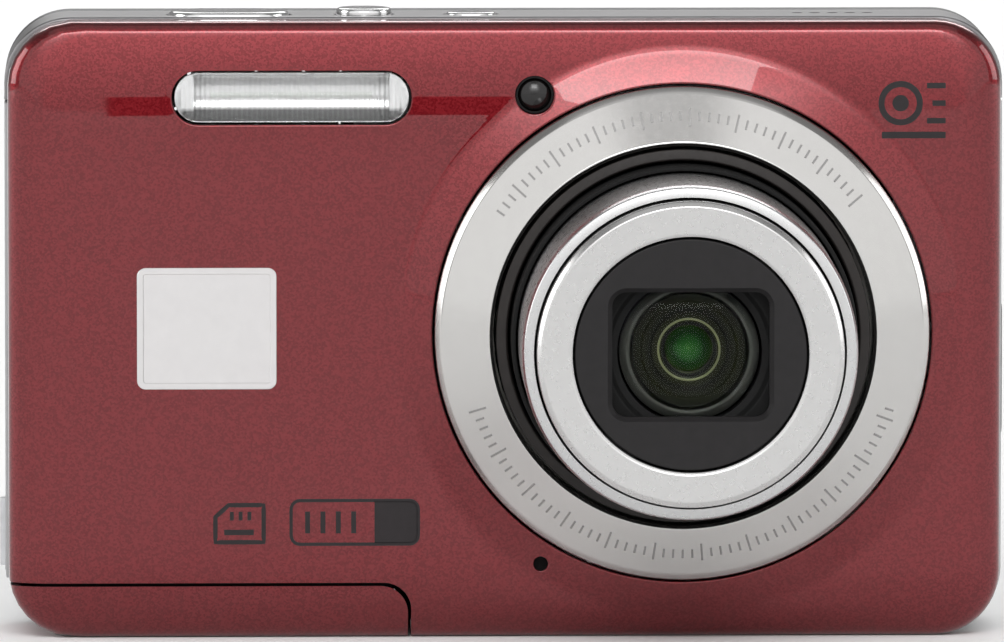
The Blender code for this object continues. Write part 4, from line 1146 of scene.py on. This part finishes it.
def refinish():
    """Gives each node that stays the finish of what it is made of."""
    finishes = (
        (board_look(), "main_board top_board sensor_board"),
        (STEEL, "strap_lug tripod_socket door_hinge card_socket usb_socket"),
        (STEEL, "zoom_motor screen_module pad_plate"),
        (DEEP_BLACK, "fixed_barrel lens_base battery_box speaker zoom_lens_cell microphone"),
        (DEEP_BLACK, "shutter_unit image_sensor"),
        (moulded("capacitor_sleeve", (0.012, 0.012, 0.016), 0.38, 3.0, 0.006), "flash_capacitor"),
        (moulded("battery_sleeve", (0.055, 0.058, 0.07), 0.48, 3.0, 0.006), "battery"),
        (moulded("card_case", (0.02, 0.045, 0.13), 0.45, 6.0, 0.01), "memory_card"),
        (moulded("gear_resin", (0.62, 0.61, 0.57), 0.5, 6.0, 0.008, 0.05), "drive_ring zoom_pinion"),
        (GLASS, "zoom_lens focus_lens flash_tube"),
    )
    for look, names in finishes:
        for name in names.split():
            slots = NODES[name].data.materials
            if len(slots) == 0:
                slots.append(look)
            for k in range(len(slots)):
                slots[k] = look


# Studio, in metres

WORLD_GLOW = 0.27
# Name, place, aim, width and height, and power of each light, and whether it shows in gloss
LIGHTS = (
    ("overhead", (0, -0.45, 1.45), (0, -0.1, 0), (1.6, 1.0), 2.2),
    ("key", (0.0, -1.25, 0.84), (0, 0, 0.03), (0.56, 0.36), 3.1),
    ("back_high", (0.1, 1.6, 1.05), (0, 0.8, 0), (1.6, 0.7), 14),
    ("left_side", (-1.3, 0.05, 0.45), (0, 0, 0.03), (0.7, 0.8), 7.0),
    ("right_side", (1.3, 0.05, 0.45), (0, 0, 0.03), (0.7, 0.8), 5.0),
    ("far_fill", (0.0, -4.0, 3.0), (0, 0, 0), (4.0, 3.0), 160, False),
)
# Brightness of the front glow by its share of the card's height, then past its lit middle
BRIGHTEST = 5.0
SKY_GLOW = (
    (0.0, 0.85), (0.1, 1.15), (0.16, 1.45), (0.24, 3.2),
    (0.36, 4.4), (0.5, 1.7), (0.66, 0.5), (1.0, 0.65),
)
SIDE_GLOW = 1.2
FADE_FROM, FADE_TO = 0.25, 0.75


def staged(obj, *unseen_by):
    """Puts an object in the studio, hidden from some kinds of rays."""
    bpy.context.scene.collection.objects.link(obj)
    for way in unseen_by:
        setattr(obj, f"visible_{way}", False)


def glowing(name):
    """A look that only gives light, and the socket for its brightness."""
    look = Look(name, (1, 1, 1), 1.0)
    look.tree.nodes.clear()
    glow = look.node("ShaderNodeEmission")
    look.link(glow.outputs[0], look.node("ShaderNodeOutputMaterial").inputs["Surface"])
    return look, glow.inputs["Strength"]


def floor():
    mesh = bpy.data.meshes.new("studio_floor")
    bm = bmesh.new()
    bmesh.ops.create_grid(bm, x_segments=20, y_segments=20, size=30.0)
    bm.to_mesh(mesh)
    bm.free()
    look = Look("studio_floor_white", (0.86, 0.86, 0.86), 0.9)
    look.tint(look.noise(0.002), 0.01)
    mesh.materials.append(look.made)
    obj = bpy.data.objects.new("studio_floor", mesh)
    obj.location = (0, 0, -0.00002)
    staged(obj)


def backdrop():
    """A wide white sweep seen only directly, so that low views have no horizon."""
    outline = circle(0, 0, 1, 64)
    steps = ((0.95, 0.0002), (26.0, 0.0002), (26.0, 20.0))
    points, faces = skin([[(r * x, r * y, z) for x, y in outline] for r, z in steps], caps=False)
    mesh = bpy.data.meshes.new("studio_wall")
    mesh.from_pydata(points, [], faces)
    mesh.materials.append(glowing("studio_wall")[0].made)
    obj = bpy.data.objects.new("studio_wall", mesh)
    staged(obj, "diffuse", "glossy", "transmission", "shadow", "volume_scatter")


def card(name, left, right, bottom, top, y, glow_by_height, side_glow):
    """An upright card that only shows in reflections, its brightness going by height."""
    mesh = bpy.data.meshes.new(name)
    corners = ((left, bottom), (right, bottom), (right, top), (left, top))
    mesh.from_pydata([(x * MM, y * MM, z * MM) for x, z in corners], [], [(0, 1, 2, 3)])
    look, strength = glowing(name)
    where = look.node("ShaderNodeSeparateXYZ")
    look.link(look.coords(), where.inputs[0])
    curve = look.node("ShaderNodeFloatCurve")
    line = curve.mapping.curves[0]
    while len(line.points) < len(glow_by_height):
        line.points.new(0.5, 0.5)
    for point, (at, value) in zip(line.points, glow_by_height):
        point.location = (at, value / BRIGHTEST)
        point.handle_type = "VECTOR"
    curve.mapping.update()
    look.link(look.ramp(where.outputs["Z"], bottom * MM, top * MM), curve.inputs["Value"])
    mix = look.node("ShaderNodeMix")
    apart = look.math("ABSOLUTE", where.outputs["X"])
    look.link(look.ramp(apart, FADE_FROM, FADE_TO, kind="SMOOTHSTEP"), mix.inputs[0])
    look.link(look.math("MULTIPLY", curve.outputs[0], BRIGHTEST), mix.inputs[2])
    mix.inputs[3].default_value = side_glow
    look.link(mix.outputs[0], strength)
    mesh.materials.append(look.made)
    staged(bpy.data.objects.new(name, mesh), "camera", "diffuse", "shadow", "transmission")


def light(name, spot, aim, size, power, glossy=True):
    data = bpy.data.lights.new(name, "AREA")
    data.shape = "RECTANGLE"
    data.size, data.size_y = size
    data.energy = power
    obj = bpy.data.objects.new(name, data)
    obj.location = spot
    obj.rotation_euler = (Vector(aim) - Vector(spot)).to_track_quat("-Z", "Y").to_euler()
    obj.visible_camera = False
    obj.visible_glossy = glossy
    bpy.context.scene.collection.objects.link(obj)


def studio():
    scene = bpy.context.scene
    scene.world = bpy.data.worlds.new("studio")
    scene.world.use_nodes = True
    sky = scene.world.node_tree.nodes["Background"]
    sky.inputs["Color"].default_value = (1, 1, 1, 1)
    sky.inputs["Strength"].default_value = WORLD_GLOW
    floor()
    backdrop()
    for row in LIGHTS:
        light(*row)
    card("front_glow", -3200, 3200, 2, 2400, -1560, SKY_GLOW, SIDE_GLOW)
    card("dark_card", -38, 22, 17.5, 54, -640, ((0.0, 0.0), (1.0, 0.0)), 0.0)
    scene.view_settings.view_transform = "Standard"
    scene.view_settings.look = "None"


def camera():
    data = bpy.data.cameras.new("camera")
    data.sensor_width = 36.0
    data.lens = 514.3
    data.clip_start, data.clip_end = 0.05, 100.0
    obj = bpy.data.objects.new("camera", data)
    eye, target = Vector((-32.9, -1309.25, 146.56)) * MM, Vector((-0.28, -9.25, 29.09)) * MM
    obj.location = eye
    obj.rotation_euler = (target - eye).to_track_quat("-Z", "Y").to_euler()
    bpy.context.scene.collection.objects.link(obj)
    bpy.context.scene.camera = obj


front_cover()
battery_door()
top_cover()
middle_frame()
rear_cover()
marks()
badge()
lens_rings()
ring_ticks()
lens_mask()
blades()
front_glass()
flash()
focus_lamp()
controls()
screen()
rear_marks()
thumb_rest()
port_cover()
screws()
refinish()
studio()
camera()
